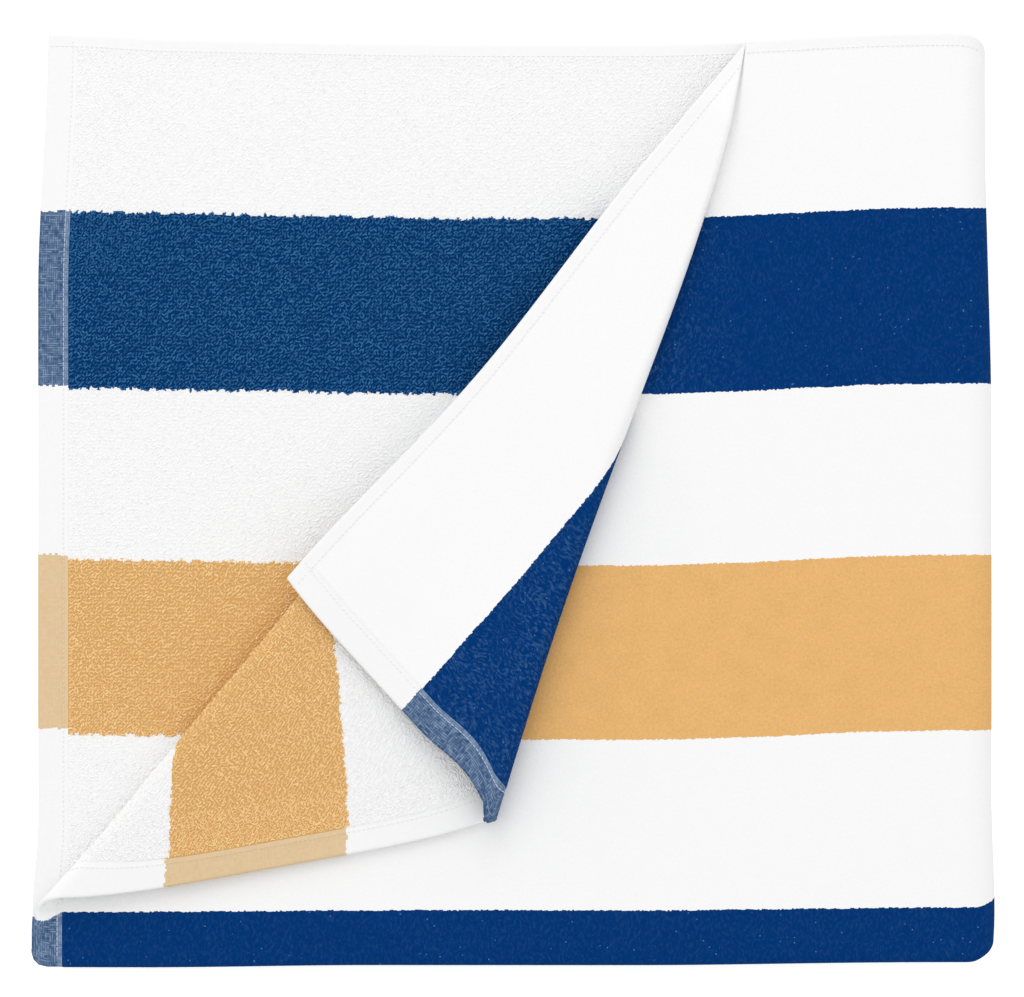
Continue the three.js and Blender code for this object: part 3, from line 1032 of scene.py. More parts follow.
@dataclass
class Sheet:
    """The cloth itself, with its rounded hems and edges."""

    frame: Frame
    surface: Surface
    layers: Layers
    terry_sink: float = 0.2
    rim_angles: tuple[float, ...] = (36.0, 72.0, 108.0, 144.0)
    rim_bulge: float = 0.8

    def terry_face(self) -> np.ndarray:
        """Find points of the ground under the terry's loops, which is sunk inside the hems.

        Returns:
            Points in millimetres.
        """
        u, v = self.surface.flat.T
        cloth = self.layers.pair.cloth
        in_end = np.minimum(u, self.layers.pair.length - u) - cloth.end_hem
        in_side = np.minimum(v, self.layers.width - v) - cloth.side_hem
        sink = self.terry_sink * ramp(in_end, 0.2, 0.6) * ramp(in_side, 0, 1.5)
        return self.surface.face(-1, sink)

    def rim(self, start: int) -> tuple[np.ndarray, np.ndarray, list]:
        """Round the open edge over from the velour face to the terry face.

        Args:
            start: Number of the first new point.

        Returns:
            New points, the sheet point that each comes from, and the faces.
        """
        surface = self.surface
        edges = surface.edge()
        count = len(surface.points)
        tangent = unit(surface.points[edges[:, 1]] - surface.points[edges[:, 0]])
        outward = np.zeros_like(surface.points)
        for k in range(2):
            np.add.at(outward, edges[:, k], np.cross(tangent, surface.normals[edges[:, k]]))
        ids = np.unique(edges)
        number = {int(i): n for n, i in enumerate(ids)}
        out, normal = unit(outward[ids]), surface.normals[ids]
        half = surface.thickness[ids, None] / 2
        rings = [
            surface.points[ids]
            + normal * half * math.cos(math.radians(a))
            + out * half * math.sin(math.radians(a)) * self.rim_bulge
            for a in self.rim_angles
        ]
        levels = len(self.rim_angles)

        def at(i: int, level: int) -> int:
            """Number the point under sheet point i at a level of the rim."""
            if level == 0:
                return i
            if level > levels:
                return count + i
            return start + (level - 1) * len(ids) + number[i]

        faces = [
            (at(int(b), k), at(int(a), k), at(int(a), k + 1), at(int(b), k + 1))
            for a, b in edges
            for k in range(levels + 1)
        ]
        return np.concatenate(rings), np.tile(ids, levels), faces

    def build(self, finishes: list[bpy.types.Material]) -> bpy.types.Object:
        """Make the cloth.

        Args:
            finishes: Materials of the velour face and the terry face.

        Returns:
            The cloth's object.
        """
        surface = self.surface
        count = len(surface.points)
        velour, terry = surface.face(1), self.terry_face()
        self.frame.centre(np.concatenate([velour, surface.face(-1)]))
        rim, source, rim_faces = self.rim(2 * count)
        faces = [[int(i) for i in dict.fromkeys(cell)] for cell in surface.cells]
        back = [[count + i for i in reversed(cell)] for cell in faces]
        flat = np.concatenate([surface.flat, surface.flat, surface.flat[source]])
        points = self.frame.metres(np.concatenate([velour, terry, rim]))
        obj = link_mesh("towel_cloth", points, faces + back + rim_faces, flat)
        slots = np.zeros(len(obj.data.polygons), np.int32)
        slots[len(faces) : 2 * len(faces)] = 1
        for finish in finishes:
            obj.data.materials.append(finish)
        obj.data.polygons.foreach_set("material_index", slots)
        settle(obj)
        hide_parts("towel")
        return obj


@dataclass(frozen=True)
class Yarn:
    """Shape of one pile loop, in millimetres."""

    reach: float = 0.56
    height: float = 0.46
    thick: float = 0.44
    sides: int = 3
    bends: tuple[float, ...] = (-12.0, 62.0, 118.0, 192.0)

    def loop(self) -> tuple[np.ndarray, list]:
        """Shape one loop standing on its two feet.

        Returns:
            Points as across, sideways and up, and the faces.
        """
        rings = []
        for bend in self.bends:
            a = math.radians(bend)
            for k in range(self.sides):
                turn = 2 * math.pi * k / self.sides
                out = self.thick * math.cos(turn)
                rings.append((
                    (self.reach + out) * math.cos(a),
                    self.thick * math.sin(turn),
                    (self.height - self.thick + out) * math.sin(a),
                ))  # fmt: skip
        faces = tube_faces(len(self.bends), self.sides)
        return np.array(rings), faces


def tube_faces(rings: int, sides: int) -> list:
    """List the faces of a closed tube of so many rings and sides.

    Args:
        rings: Number of rings.
        sides: Number of points in a ring.

    Returns:
        Corner numbers of each face.
    """
    faces = [
        (r * sides + k, r * sides + (k + 1) % sides, (r + 1) * sides + (k + 1) % sides, (r + 1) * sides + k)
        for r in range(rings - 1)
        for k in range(sides)
    ]
    last = (rings - 1) * sides
    return [tuple(range(sides))[::-1], *faces, tuple(range(last, last + sides))]


def repeat_faces(faces: list, count: int, size: int) -> list:
    """Repeat a small shape's faces for each of its copies."""
    return [tuple(i + n * size for i in face) for n in range(count) for face in faces]


@dataclass
class TerryPile:
    """Loops of yarn on the terry that shows: the opened layer and the turned flap."""

    frame: Frame
    surface: Surface
    sheet: Sheet
    corner: TurnedCorner
    yarn: Yarn = Yarn()
    pitch: float = 1.3
    margin: float = 7.0  # how far loops go on under what covers them
    white_lift: float = 0.6  # height of the white loops, against the dyed ones
    hem_gap: float = 0.3  # bare cloth between the end hem and the first loops
    least_up: float = 0.2  # how far a cell has to face up to carry loops
    scatter: float = 0.32  # how far a loop strays from its place, for each unit of pitch
    lean: float = 0.16
    swing: float = 0.3
    sizes: tuple[float, float] = (0.82, 1.18)
    tints: tuple[float, float] = (0.2, 1.0)
    shaded_foot_share: float = 0.5  # painted shade: share of the tint kept at a loop's feet, against its lit top
    seed: int = 11

    def showing(self) -> tuple[np.ndarray, np.ndarray]:
        """Choose the cells of the opened layer and of the flap that carry loops.

        Returns:
            A mask of the cells for each of the two.
        """
        s, layers = self.surface, self.corner.layers
        centre = s.points[s.cells].mean(axis=1)
        flat = s.flat[s.cells].mean(axis=1)
        up = -s.normals[s.cells].mean(axis=1)[:, 2]
        part = s.parts[s.cells].max(axis=1)
        cloth = layers.pair.cloth
        piled = (flat[:, 0] > cloth.end_hem + self.hem_gap) & (up > self.least_up)
        in_side = (flat[:, 1] < layers.width - cloth.side_hem) & (flat[:, 1] > layers.arc_end)
        beside, _ = self.corner.first.measure(centre[:, 0], centre[:, 1])
        top_run = flat[:, 0] < self.corner.apex_u + self.margin
        opened = piled & in_side & top_run & (part < 0) & (beside < self.margin)
        (x0, y0), end = self.corner.free_corner, self.corner.second_turn(np.array(1.0), math.pi)
        across = np.array([end[0] - x0, end[1] - y0])
        past = (centre[:, 0] - x0) * across[1] - (centre[:, 1] - y0) * across[0]
        past /= np.linalg.norm(across)
        turned = (part == Part.MIDDLE.value) | (part == Part.FIRST_TURN.value)
        return opened, piled & turned & (past > -self.margin)

    def sites(self, chosen: np.ndarray, rng: np.random.Generator) -> tuple[np.ndarray, ...]:
        """Scatter loop feet over cells in loose rows.

        Args:
            chosen: Which cells carry loops.
            rng: Source of the small irregularities.

        Returns:
            Places, directions up, directions along the row and flat places.
        """
        s, cells = self.surface, self.surface.cells[chosen]
        base = self.sheet.terry_face()
        wide = np.linalg.norm(base[cells[:, 1]] - base[cells[:, 0]], axis=1)
        deep = np.linalg.norm(base[cells[:, 3]] - base[cells[:, 0]], axis=1)
        counts = np.stack([np.rint(wide / self.pitch), np.rint(deep / self.pitch)], axis=1)
        counts = np.maximum(counts, 1).astype(int)
        found = []
        for nx, ny in np.unique(counts, axis=0):
            group = cells[(counts == (nx, ny)).all(axis=1)]
            i, j = np.meshgrid(np.arange(nx), np.arange(ny), indexing="ij")
            shape = (len(group), nx * ny)
            a = (i.ravel() + 0.5 + rng.uniform(-self.scatter, self.scatter, shape)) / nx
            b = (j.ravel() + 0.5 + rng.uniform(-self.scatter, self.scatter, shape)) / ny
            weights = np.stack([(1 - a) * (1 - b), a * (1 - b), a * b, (1 - a) * b], axis=-1)
            place, up, flat = (
                np.einsum("nsk,nkd->nsd", weights, values[group]) for values in (base, -s.normals, s.flat)
            )
            row = np.repeat(unit(base[group[:, 3]] - base[group[:, 0]])[:, None], nx * ny, axis=1)
            found.append([values.reshape(-1, values.shape[-1]) for values in (place, up, row, flat)])
        return tuple(np.concatenate(group) for group in zip(*found))

    def loops(self, name: str, sites: tuple[np.ndarray, ...], rng: np.random.Generator) -> bpy.types.Object:
        """Stand a loop on each site.

        Args:
            name: The piece's name.
            sites: Places, directions up and along, and flat places.
            rng: Source of the turns, leans and sizes.

        Returns:
            The joined loops.
        """
        place, up, row, flat = sites
        count = len(place)
        up = unit(up + rng.normal(0, self.lean, (count, 3)))
        row = unit(row - up * (row * up).sum(axis=1, keepdims=True))
        side = np.cross(up, row)
        turn = math.pi / 4 * rng.choice([1, 1, 1, 3], count) + rng.normal(0, self.swing, count)
        turn = turn[:, None]
        across = row * np.cos(turn) + side * np.sin(turn)
        sideways = np.cross(up, across)
        shape, faces = self.yarn.loop()
        size = rng.uniform(*self.sizes, count)[:, None, None]
        dyed = STRIPES.dyed(self.corner.layers.width - flat[:, 1])
        rise = np.where(dyed, 1, self.white_lift)[:, None, None]
        points = place[:, None] + size * (
            shape[None, :, 0:1] * across[:, None]
            + shape[None, :, 1:2] * sideways[:, None]
            + shape[None, :, 2:3] * rise * up[:, None]
        )
        each = len(shape)
        # Painted light: each loop's top is kept lighter as a highlight and its feet darker as shade, on top
        # of its own random tint.
        top = np.repeat(np.clip(np.sin(np.radians(self.yarn.bends)), 0, 1), self.yarn.sides)
        tint_and_shade = (rng.uniform(*self.tints, count)[:, None] * mix(self.shaded_foot_share, 1, top)).ravel()
        points = self.frame.metres(points.reshape(-1, 3))
        piece = link_mesh(name, points, repeat_faces(faces, count, each), np.repeat(flat, each, axis=0), tint_and_shade)
        piece.data.shade_flat()
        return piece

    def build(self, finish: bpy.types.Material) -> list[bpy.types.Object]:
        """Make the loops, one piece for each stripe of the opened layer and one for the flap.

        Args:
            finish: The yarn's material.

        Returns:
            The pieces.
        """
        rng = np.random.default_rng(self.seed)
        opened, turned = self.showing()
        sites = self.sites(opened, rng)
        from_side = self.corner.layers.width - sites[3][:, 1]
        edges = [*STRIPES.navy, *STRIPES.gold, STRIPES.centre]
        stripe = np.searchsorted(edges, from_side)
        names = ["white_selvage", "navy", "white_inner", "gold", "white_centre"]
        pieces = []
        for number in np.unique(stripe):
            part = tuple(values[stripe == number] for values in sites)
            pieces.append(self.loops(f"terry_{names[number]}", part, rng))
        pieces.append(self.loops("terry_flap", self.sites(turned, rng), rng))
        for piece in pieces:
            piece.data.materials.append(finish)
            settle(piece)
        return pieces


@dataclass(frozen=True)
class Path:
    """A line on the sheet: its middle points, the velour's direction, thickness and flat place."""

    points: np.ndarray
    normals: np.ndarray
    thickness: np.ndarray
    flat: np.ndarray

    def at(self, distance: np.ndarray) -> tuple[np.ndarray, ...]:
        """Find points, directions, thicknesses and flat places at distances along the line.

        Args:
            distance: Distances from the line's start.

        Returns:
            The four arrays.
        """
        lengths = np.linalg.norm(np.diff(self.points, axis=0), axis=1)
        along = np.concatenate([[0], np.cumsum(lengths)])
        points, normals, thickness, flat = (
            np.stack([np.interp(distance, along, line) for line in values.T], axis=-1)
            for values in (self.points, self.normals, self.thickness, self.flat)
        )
        return points, unit(normals), thickness, flat

    @property
    def length(self) -> float:
        """Length of the line."""
        return float(np.linalg.norm(np.diff(self.points, axis=0), axis=1).sum())


def contour(patch: Patch, axis: int, level: float, rows: slice = slice(None)) -> Path:
    """Follow a flat distance across a grid.

    Args:
        patch: The grid.
        axis: 0 to follow a distance u from the end, 1 a distance v from the side.
        level: The distance.
        rows: The grid's lines to cross, in order.

    Returns:
        The line on the sheet.
    """
    d0, d1 = np.gradient(patch.points, axis=0), np.gradient(patch.points, axis=1)
    grids = [patch.points, unit(np.cross(d1, d0)), patch.thickness[..., None], patch.flat]
    turned = patch.parts.size > 0  # its rings run across the main grid's lines
    if (axis == 0) != turned:
        grids = [g.swapaxes(0, 1) for g in grids]
    grids = [g[rows] for g in grids]
    values = grids[-1][..., axis]
    hit = (values[:, 1:] > level) != (values[:, :-1] > level)
    i = np.nonzero(hit.any(axis=1))[0]
    j = hit[i].argmax(axis=1)
    share = ((level - values[i, j]) / (values[i, j + 1] - values[i, j]))[:, None]
    points, normals, thickness, flat = (mix(g[i, j], g[i, j + 1], share) for g in grids)
    return Path(points, unit(normals), thickness, flat)


@dataclass
class Stitching:
    """Rows of sewing thread that hold the hems."""

    frame: Frame
    mesher: Mesher
    pitch: float = 2.0
    thread: float = 0.24
    rise: float = 0.12
    sides: int = 5
    end_inset: float = 1.9  # from each hem's inner edge to its stitches
    side_inset: float = 0.8
    past_apex: int = 24  # how many grid lines the side hem's row shows past the apex
    profile: tuple[tuple[float, float], ...] = (
        (0.12, -1.6), (0.3, 0.7), (0.5, 1.0), (0.7, 0.7), (0.88, -1.6)
    )  # fmt: skip

    def row(self, path: Path, faces: tuple[float, ...]) -> list[np.ndarray]:
        """Sew stitches along a line, on one face or both.

        Args:
            path: The line.
            faces: 1 for the velour face, -1 for the terry face.

        Returns:
            Points of the stitches, with their flat places.
        """
        count = int(path.length / self.pitch)
        out = []
        for side in faces:
            rings = []
            for share, lift in self.profile:
                distance = (np.arange(count) + share) * self.pitch
                p, n, thickness, flat = path.at(distance)
                ahead = path.at(distance + 0.2)[0]
                tangent = unit(ahead - p + 1e-6)
                across = np.cross(tangent, n)
                middle = p + n * (side * (thickness / 2 + lift * self.rise))
                for k in range(self.sides):
                    turn = 2 * math.pi * k / self.sides
                    around = math.cos(turn) * n * side + math.sin(turn) * across * side
                    rings.append(np.hstack([middle + self.thread * around, flat]))
            out.append(np.stack(rings, axis=1).reshape(-1, 5))
        return out

    def build(self, main: Patch, turned: Patch, finish: bpy.types.Material) -> list[bpy.types.Object]:
        """Sew the end hem and the side hems in one row each.

        Args:
            main: The grid of the layers.
            turned: The grid of the turned corner.
            finish: The thread's material.

        Returns:
            The two stitched pieces.
        """
        layers, cloth = self.mesher.layers, self.mesher.layers.pair.cloth
        lower = slice(len(self.mesher.rings()) - 1, None)
        apex = self.mesher.apex_column
        level = cloth.end_hem - self.end_inset
        end_rows = self.row(contour(turned, 0, level), (1, -1))
        end_rows += self.row(contour(main, 0, level, lower), (-1,))
        level = cloth.side_hem - self.side_inset
        side_rows = self.row(contour(turned, 1, level, slice(4, None)), (1,))
        side_rows += self.row(contour(main, 1, level, slice(apex, apex + self.past_apex)), (1,))
        side_rows += self.row(contour(main, 1, layers.width - level, slice(0, apex + 2)), (-1,))
        each = len(self.profile) * self.sides
        pieces = []
        for name, rows in (("end_hem_stitching", end_rows), ("side_hem_stitching", side_rows)):
            table = np.concatenate(rows)
            faces = repeat_faces(tube_faces(len(self.profile), self.sides), len(table) // each, each)
            piece = link_mesh(name, self.frame.metres(table[:, :3]), faces, table[:, 3:])
            piece.data.materials.append(finish)
            settle(piece)
            pieces.append(piece)
        return pieces


# ---- Finishes ---------------------------------------------------------------


def srgb(red: float, green: float, blue: float) -> tuple[float, float, float, float]:
    """Turn a colour as seen, from 0 to 255, into the renderer's own values."""
    values = [c / 255 for c in (red, green, blue)]
    return (*(c / 12.92 if c <= 0.04045 else ((c + 0.055) / 1.055) ** 2.4 for c in values), 1.0)


class Graph:
    """Short ways to add and join the nodes of a tree."""

    def __init__(self, tree: bpy.types.NodeTree) -> None:
        """Work on a tree."""
        self.tree = tree

    def node(self, kind: str, inputs: dict | None = None, **settings: object) -> bpy.types.Node:
        """Add a node.

        Args:
            kind: The node's type without its prefix.
            inputs: Values or sockets for its inputs, by name or number.
            settings: The node's own properties.

        Returns:
            The node.
        """
        node = self.tree.nodes.new("ShaderNode" + kind)
        for key, value in settings.items():
            setattr(node, key, value)
        for key, value in (inputs or {}).items():
            self.feed(node.inputs[key], value)
        return node

    def feed(self, socket: bpy.types.NodeSocket, value: Input) -> None:
        """Join an output to an input, or set the input's value.

        Args:
            socket: The input.
            value: A socket to link, or a plain value.
        """
        if isinstance(value, bpy.types.NodeSocket):
            self.tree.links.new(value, socket)
        else:
            socket.default_value = value

    def math(self, operation: str, *values: Input) -> bpy.types.NodeSocket:
        """Do arithmetic on values or sockets."""
        return self.node("Math", dict(enumerate(values)), operation=operation).outputs[0]

    def between(self, value: Input, low: float, high: float) -> bpy.types.NodeSocket:
        """Give 1 where a value lies between two others."""
        return self.math(
            "MULTIPLY", self.math("GREATER_THAN", value, low), self.math("LESS_THAN", value, high)
        )

    def blend(self, factor: Input, first: Input, second: Input, mode: str = "MIX") -> bpy.types.NodeSocket:
        """Mix two colours.

        Args:
            factor: Share of the second colour.
            first: The first colour.
            second: The second colour.
            mode: How they are mixed.

        Returns:
            The mixed colour.
        """
        node = self.node("Mix", data_type="RGBA", blend_type=mode)
        for socket, value in zip((node.inputs[0], node.inputs[6], node.inputs[7]), (factor, first, second)):
            self.feed(socket, value)
        return node.outputs[2]

    def remap(self, value: Input, old: tuple[float, float], new: tuple[float, float]) -> bpy.types.NodeSocket:
        """Carry a value from one range to another.

        Args:
            value: The value.
            old: Its range.
            new: The range that it is brought to.

        Returns:
            The new value.
        """
        inputs = {0: value, 1: old[0], 2: old[1], 3: new[0], 4: new[1]}
        return self.node("MapRange", inputs).outputs[0]


def new_group(
    name: str, inputs: dict[str, tuple[str, float | None]], outputs: dict[str, str]
) -> tuple[Graph, bpy.types.Node, bpy.types.Node]:
    """Start a shader node group.

    Args:
        name: The group's name.
        inputs: Socket type and default value of each input.
        outputs: Socket type of each output.

    Returns:
        The tree's graph, its input node and its output node.
    """
    tree = bpy.data.node_groups.new(name, "ShaderNodeTree")
    for label, (kind, value) in inputs.items():
        socket = tree.interface.new_socket(label, in_out="INPUT", socket_type="NodeSocket" + kind)
        if value is not None:
            socket.default_value = value
    for label, kind in outputs.items():
        tree.interface.new_socket(label, in_out="OUTPUT", socket_type="NodeSocket" + kind)
    graph = Graph(tree)
    return graph, tree.nodes.new("NodeGroupInput"), tree.nodes.new("NodeGroupOutput")


@dataclass(frozen=True)
class StripeGroup:
    """Masks of the woven stripes and hems, from the flat-cloth map."""

    layers: Layers = Layers()
    stripes: Stripes = STRIPES
    tooth_length: float = 9.0  # how far across the cloth one row's tooth goes on
    drift_scale: float = 0.035
    seam: float = 2.1  # width of the end hem's seam

    def build(self) -> bpy.types.NodeTree:
        """Make the group.

        Returns:
            Its node tree.
        """
        g, given, out = new_group(
            "woven_stripes",
            {
                "Flat": ("Vector", None),
                "Tooth Depth": ("Float", 1.0),
                "Tooth Pitch": ("Float", 1.5),
                "Wander": ("Float", 1.0),
            },
            {
                "Navy": "Float",
                "Gold": "Float",
                "End Hem": "Float",
                "Side Hem": "Float",
                "Seam": "Float",
                "Millimetres": "Vector",
            },
        )
        size = g.node("VectorMath", {0: given.outputs["Flat"], "Scale": 1 / MM}, operation="SCALE")
        place = g.node("SeparateXYZ", {0: size.outputs[0]})
        u, v = place.outputs[0], place.outputs[1]
        half, length = self.layers.width / 2, self.layers.pair.length
        cloth = self.layers.pair.cloth
        from_side = g.math("SUBTRACT", half, g.math("ABSOLUTE", g.math("SUBTRACT", v, half)))
        from_end = g.math("MINIMUM", u, g.math("SUBTRACT", length, u))
        row = g.math("FLOOR", g.math("DIVIDE", u, given.outputs["Tooth Pitch"]))
        line = g.math("FLOOR", g.math("DIVIDE", v, self.tooth_length))
        cell = g.node("CombineXYZ", {0: row, 1: line}).outputs[0]
        tooth = g.node("TexWhiteNoise", {"Vector": cell}, noise_dimensions="2D").outputs["Value"]
        tooth = g.math("MULTIPLY", g.math("SUBTRACT", tooth, 0.5), given.outputs["Tooth Depth"])
        drift = g.node("TexNoise", {"Vector": size.outputs[0], "Scale": self.drift_scale, "Detail": 2.0})
        drift = g.math("MULTIPLY", g.math("SUBTRACT", drift.outputs[0], 0.5), given.outputs["Wander"])
        in_hem = g.math("LESS_THAN", from_end, cloth.end_hem)
        drawn = g.math("ADD", 1.0, g.math("MULTIPLY", in_hem, self.stripes.hem_draw))
        edge = g.math("ADD", g.math("MULTIPLY", from_side, drawn), g.math("ADD", tooth, drift))
        slant = g.remap(u, (0.0, cloth.end_hem), (self.stripes.hem_slant, 0.0))
        slant = g.math("ADD", slant, g.math("MULTIPLY", in_hem, self.stripes.hem_draw * self.stripes.centre))
        centre = g.math("GREATER_THAN", g.math("SUBTRACT", edge, slant), self.stripes.centre)
        navy = g.math("ADD", g.between(edge, *self.stripes.navy), centre)
        results = {
            "Navy": navy,
            "Gold": g.between(edge, *self.stripes.gold),
            "End Hem": in_hem,
            "Side Hem": g.math("LESS_THAN", from_side, cloth.side_hem),
            "Seam": g.between(from_end, cloth.end_hem - self.seam, cloth.end_hem),
            "Millimetres": size.outputs[0],
        }
        for label, socket in results.items():
            g.feed(out.inputs[label], socket)
        return g.tree


@dataclass(frozen=True)
class WeaveGroup:
    """The hems' flat weave: height and a mottle of dyed and undyed threads."""

    def build(self) -> bpy.types.NodeTree:
        """Make the group.

        Returns:
            Its node tree.
        """
        g, given, out = new_group(
            "flat_weave",
            {"Millimetres": ("Vector", None), "Thread": ("Float", 0.9)},
            {"Height": "Float", "Undyed": "Float"},
        )
        place = g.node("SeparateXYZ", {0: given.outputs["Millimetres"]})
        threads = []
        for across, along in ((0, 1), (1, 0)):
            number = g.math("DIVIDE", place.outputs[across], given.outputs["Thread"])
            own = g.math("MULTIPLY", g.math("FLOOR", number), 1.73)
            stretch = g.math("MULTIPLY", place.outputs[along], 0.3)
            where = g.node("CombineXYZ", {0: own, 1: stretch, 2: 7.0 * across}).outputs[0]
            mottle = g.node("TexNoise", {"Vector": where, "Detail": 1.0, "Scale": 1.0}).outputs[0]
            pale = g.remap(mottle, (0.38, 0.68), (0.1, 1.0))
            rib = g.math("ABSOLUTE", g.math("SINE", g.math("MULTIPLY", number, math.pi)))
            threads.append(g.math("MULTIPLY", pale, rib))
        weave = g.math("MAXIMUM", *threads)
        g.feed(out.inputs["Height"], weave)
        g.feed(out.inputs["Undyed"], g.remap(weave, (0.1, 1.1), (0.0, 1.0)))
        return g.tree


@dataclass(frozen=True)
class NapGroup:
    """Sheared velour: a slow mottle, fine tufts, pale flecks and a sprinkle of lint; over the turned-back
    corner the flecks grow thicker as painted sheen.
    """

    @staticmethod
    def noise(g: Graph, where: Input, scale: float, detail: float, roughness: float) -> bpy.types.NodeSocket:
        """Add a noise of several octaves.

        Args:
            g: The group's graph.
            where: Places in millimetres.
            scale: How many features a millimetre holds.
            detail: Number of octaves.
            roughness: How strong the finer octaves are.

        Returns:
            The noise, from 0 to 1.
        """
        inputs = {"Vector": where, "Scale": scale, "Detail": detail, "Roughness": roughness}
        return g.node("TexNoise", inputs).outputs[0]

    def build(self) -> bpy.types.NodeTree:
        """Make the group.

        Returns:
            Its node tree.
        """
        g, given, out = new_group(
            "velour_nap",
            {"Millimetres": ("Vector", None), "Lint": ("Float", 0.5)},
            {"Shade": "Float", "Height": "Float", "Lint": "Float", "Fleck": "Float"},
        )
        where = given.outputs["Millimetres"]
        bent = g.node("TexNoise", {"Vector": where, "Scale": 0.07}).outputs[1]
        turned = g.node("VectorMath", {0: bent, "Scale": 9.0}, operation="SCALE").outputs[0]
        turned = g.node("VectorMath", {0: where, 1: turned}, operation="ADD").outputs[0]
        drawn = g.node("Mapping", {0: turned, 2: (0.0, 0.0, 0.5), 3: (1.0, 0.5, 1.0)}).outputs[0]
        fleck = self.noise(g, drawn, 1.1, 3.0, 0.6)
        # Painted sheen: pale flecks grow thicker, in patches, over the turned-back corner, from 285 to 240 mm
        # of the end and 160 to 130 mm of the side edge.
        patch = g.node("TexNoise", {"Vector": where, "Scale": 0.05}).outputs[0]
        place = g.node("SeparateXYZ", {0: where})
        near_end = g.remap(place.outputs[0], (285, 240), (0.0, 1.0))
        near_side = g.remap(place.outputs[1], (160, 130), (0.0, 1.0))
        sheen_on_flap = g.math("MULTIPLY", near_end, near_side)
        amount = g.math("ADD", 0.22, g.math("MULTIPLY", sheen_on_flap, g.remap(patch, (0.35, 0.6), (0.25, 0.78))))
        fleck = g.math("MULTIPLY", g.remap(fleck, (0.48, 0.78), (0.0, 1.0)), amount)
        slow = self.noise(g, where, 0.09, 5.0, 0.65)
        tufts = self.noise(g, where, 0.9, 4.0, 0.7)
        mottle = g.remap(slow, (0.3, 0.7), (-0.035, 0.035))
        shade = g.math("ADD", mottle, g.remap(tufts, (0.3, 0.7), (-0.1, 0.1)))
        specks = g.node("TexVoronoi", {"Vector": where, "Scale": 0.36, "Randomness": 1.0})
        near = g.math("LESS_THAN", specks.outputs["Distance"], 0.1)
        chance = g.node("SeparateColor", {0: specks.outputs["Color"]}).outputs[0]
        lint = g.math("MULTIPLY", near, g.math("LESS_THAN", chance, given.outputs["Lint"]))
        g.feed(out.inputs["Shade"], g.math("ADD", shade, 1.0))
        g.feed(out.inputs["Height"], tufts)
        g.feed(out.inputs["Lint"], lint)
        g.feed(out.inputs["Fleck"], fleck)
        return g.tree


class Groups:
    """The node groups that the finishes share."""

    def __init__(self) -> None:
        """Make each group once."""
        self.stripes = StripeGroup().build()
        self.weave = WeaveGroup().build()
        self.nap = NapGroup().build()


@dataclass(frozen=True)
class Dyes:
    """Colours of one face's yarns and of the hems beside it."""

    white: tuple[float, float, float, float]
    navy: tuple[float, float, float, float]
    gold: tuple[float, float, float, float]


VELOUR_DYES = Dyes(srgb(248, 248, 248), srgb(0, 52, 113), srgb(229, 179, 114))
# Colours of the pale flecks; over the turned-back corner they also stand for painted sheen.
VELOUR_FLECKS = Dyes(srgb(251, 251, 251), srgb(66, 104, 150), srgb(238, 196, 134))
# Painted shade: the terry's ground is darker than its loops' yarn, standing for the shade in the gaps between
# loops.
TERRY_GROUND_DYES_AND_SHADE = Dyes(srgb(246, 246, 246), srgb(3, 54, 105), srgb(216, 170, 107))
# Painted light: a loop's colour runs from the dark one, painted shade at its feet, to the light one, a
# painted highlight on its top; its random tint also moves it between them.
LOOP_DARK_AND_SHADED = Dyes(srgb(246, 246, 246), srgb(13, 72, 126), srgb(234, 192, 131))
LOOP_LIGHT_AND_HIGHLIT = Dyes(srgb(250, 250, 250), srgb(66, 128, 180), srgb(252, 224, 172))
THREAD_DYES = Dyes(srgb(248, 248, 248), srgb(188, 202, 220), srgb(232, 212, 178))
HEM_DYES = Dyes(srgb(243, 243, 243), srgb(56, 84, 122), srgb(219, 190, 148))
HEM_UNDYED = Dyes(srgb(246, 246, 246), srgb(134, 155, 182), srgb(226, 201, 164))
LINT = srgb(150, 185, 220)


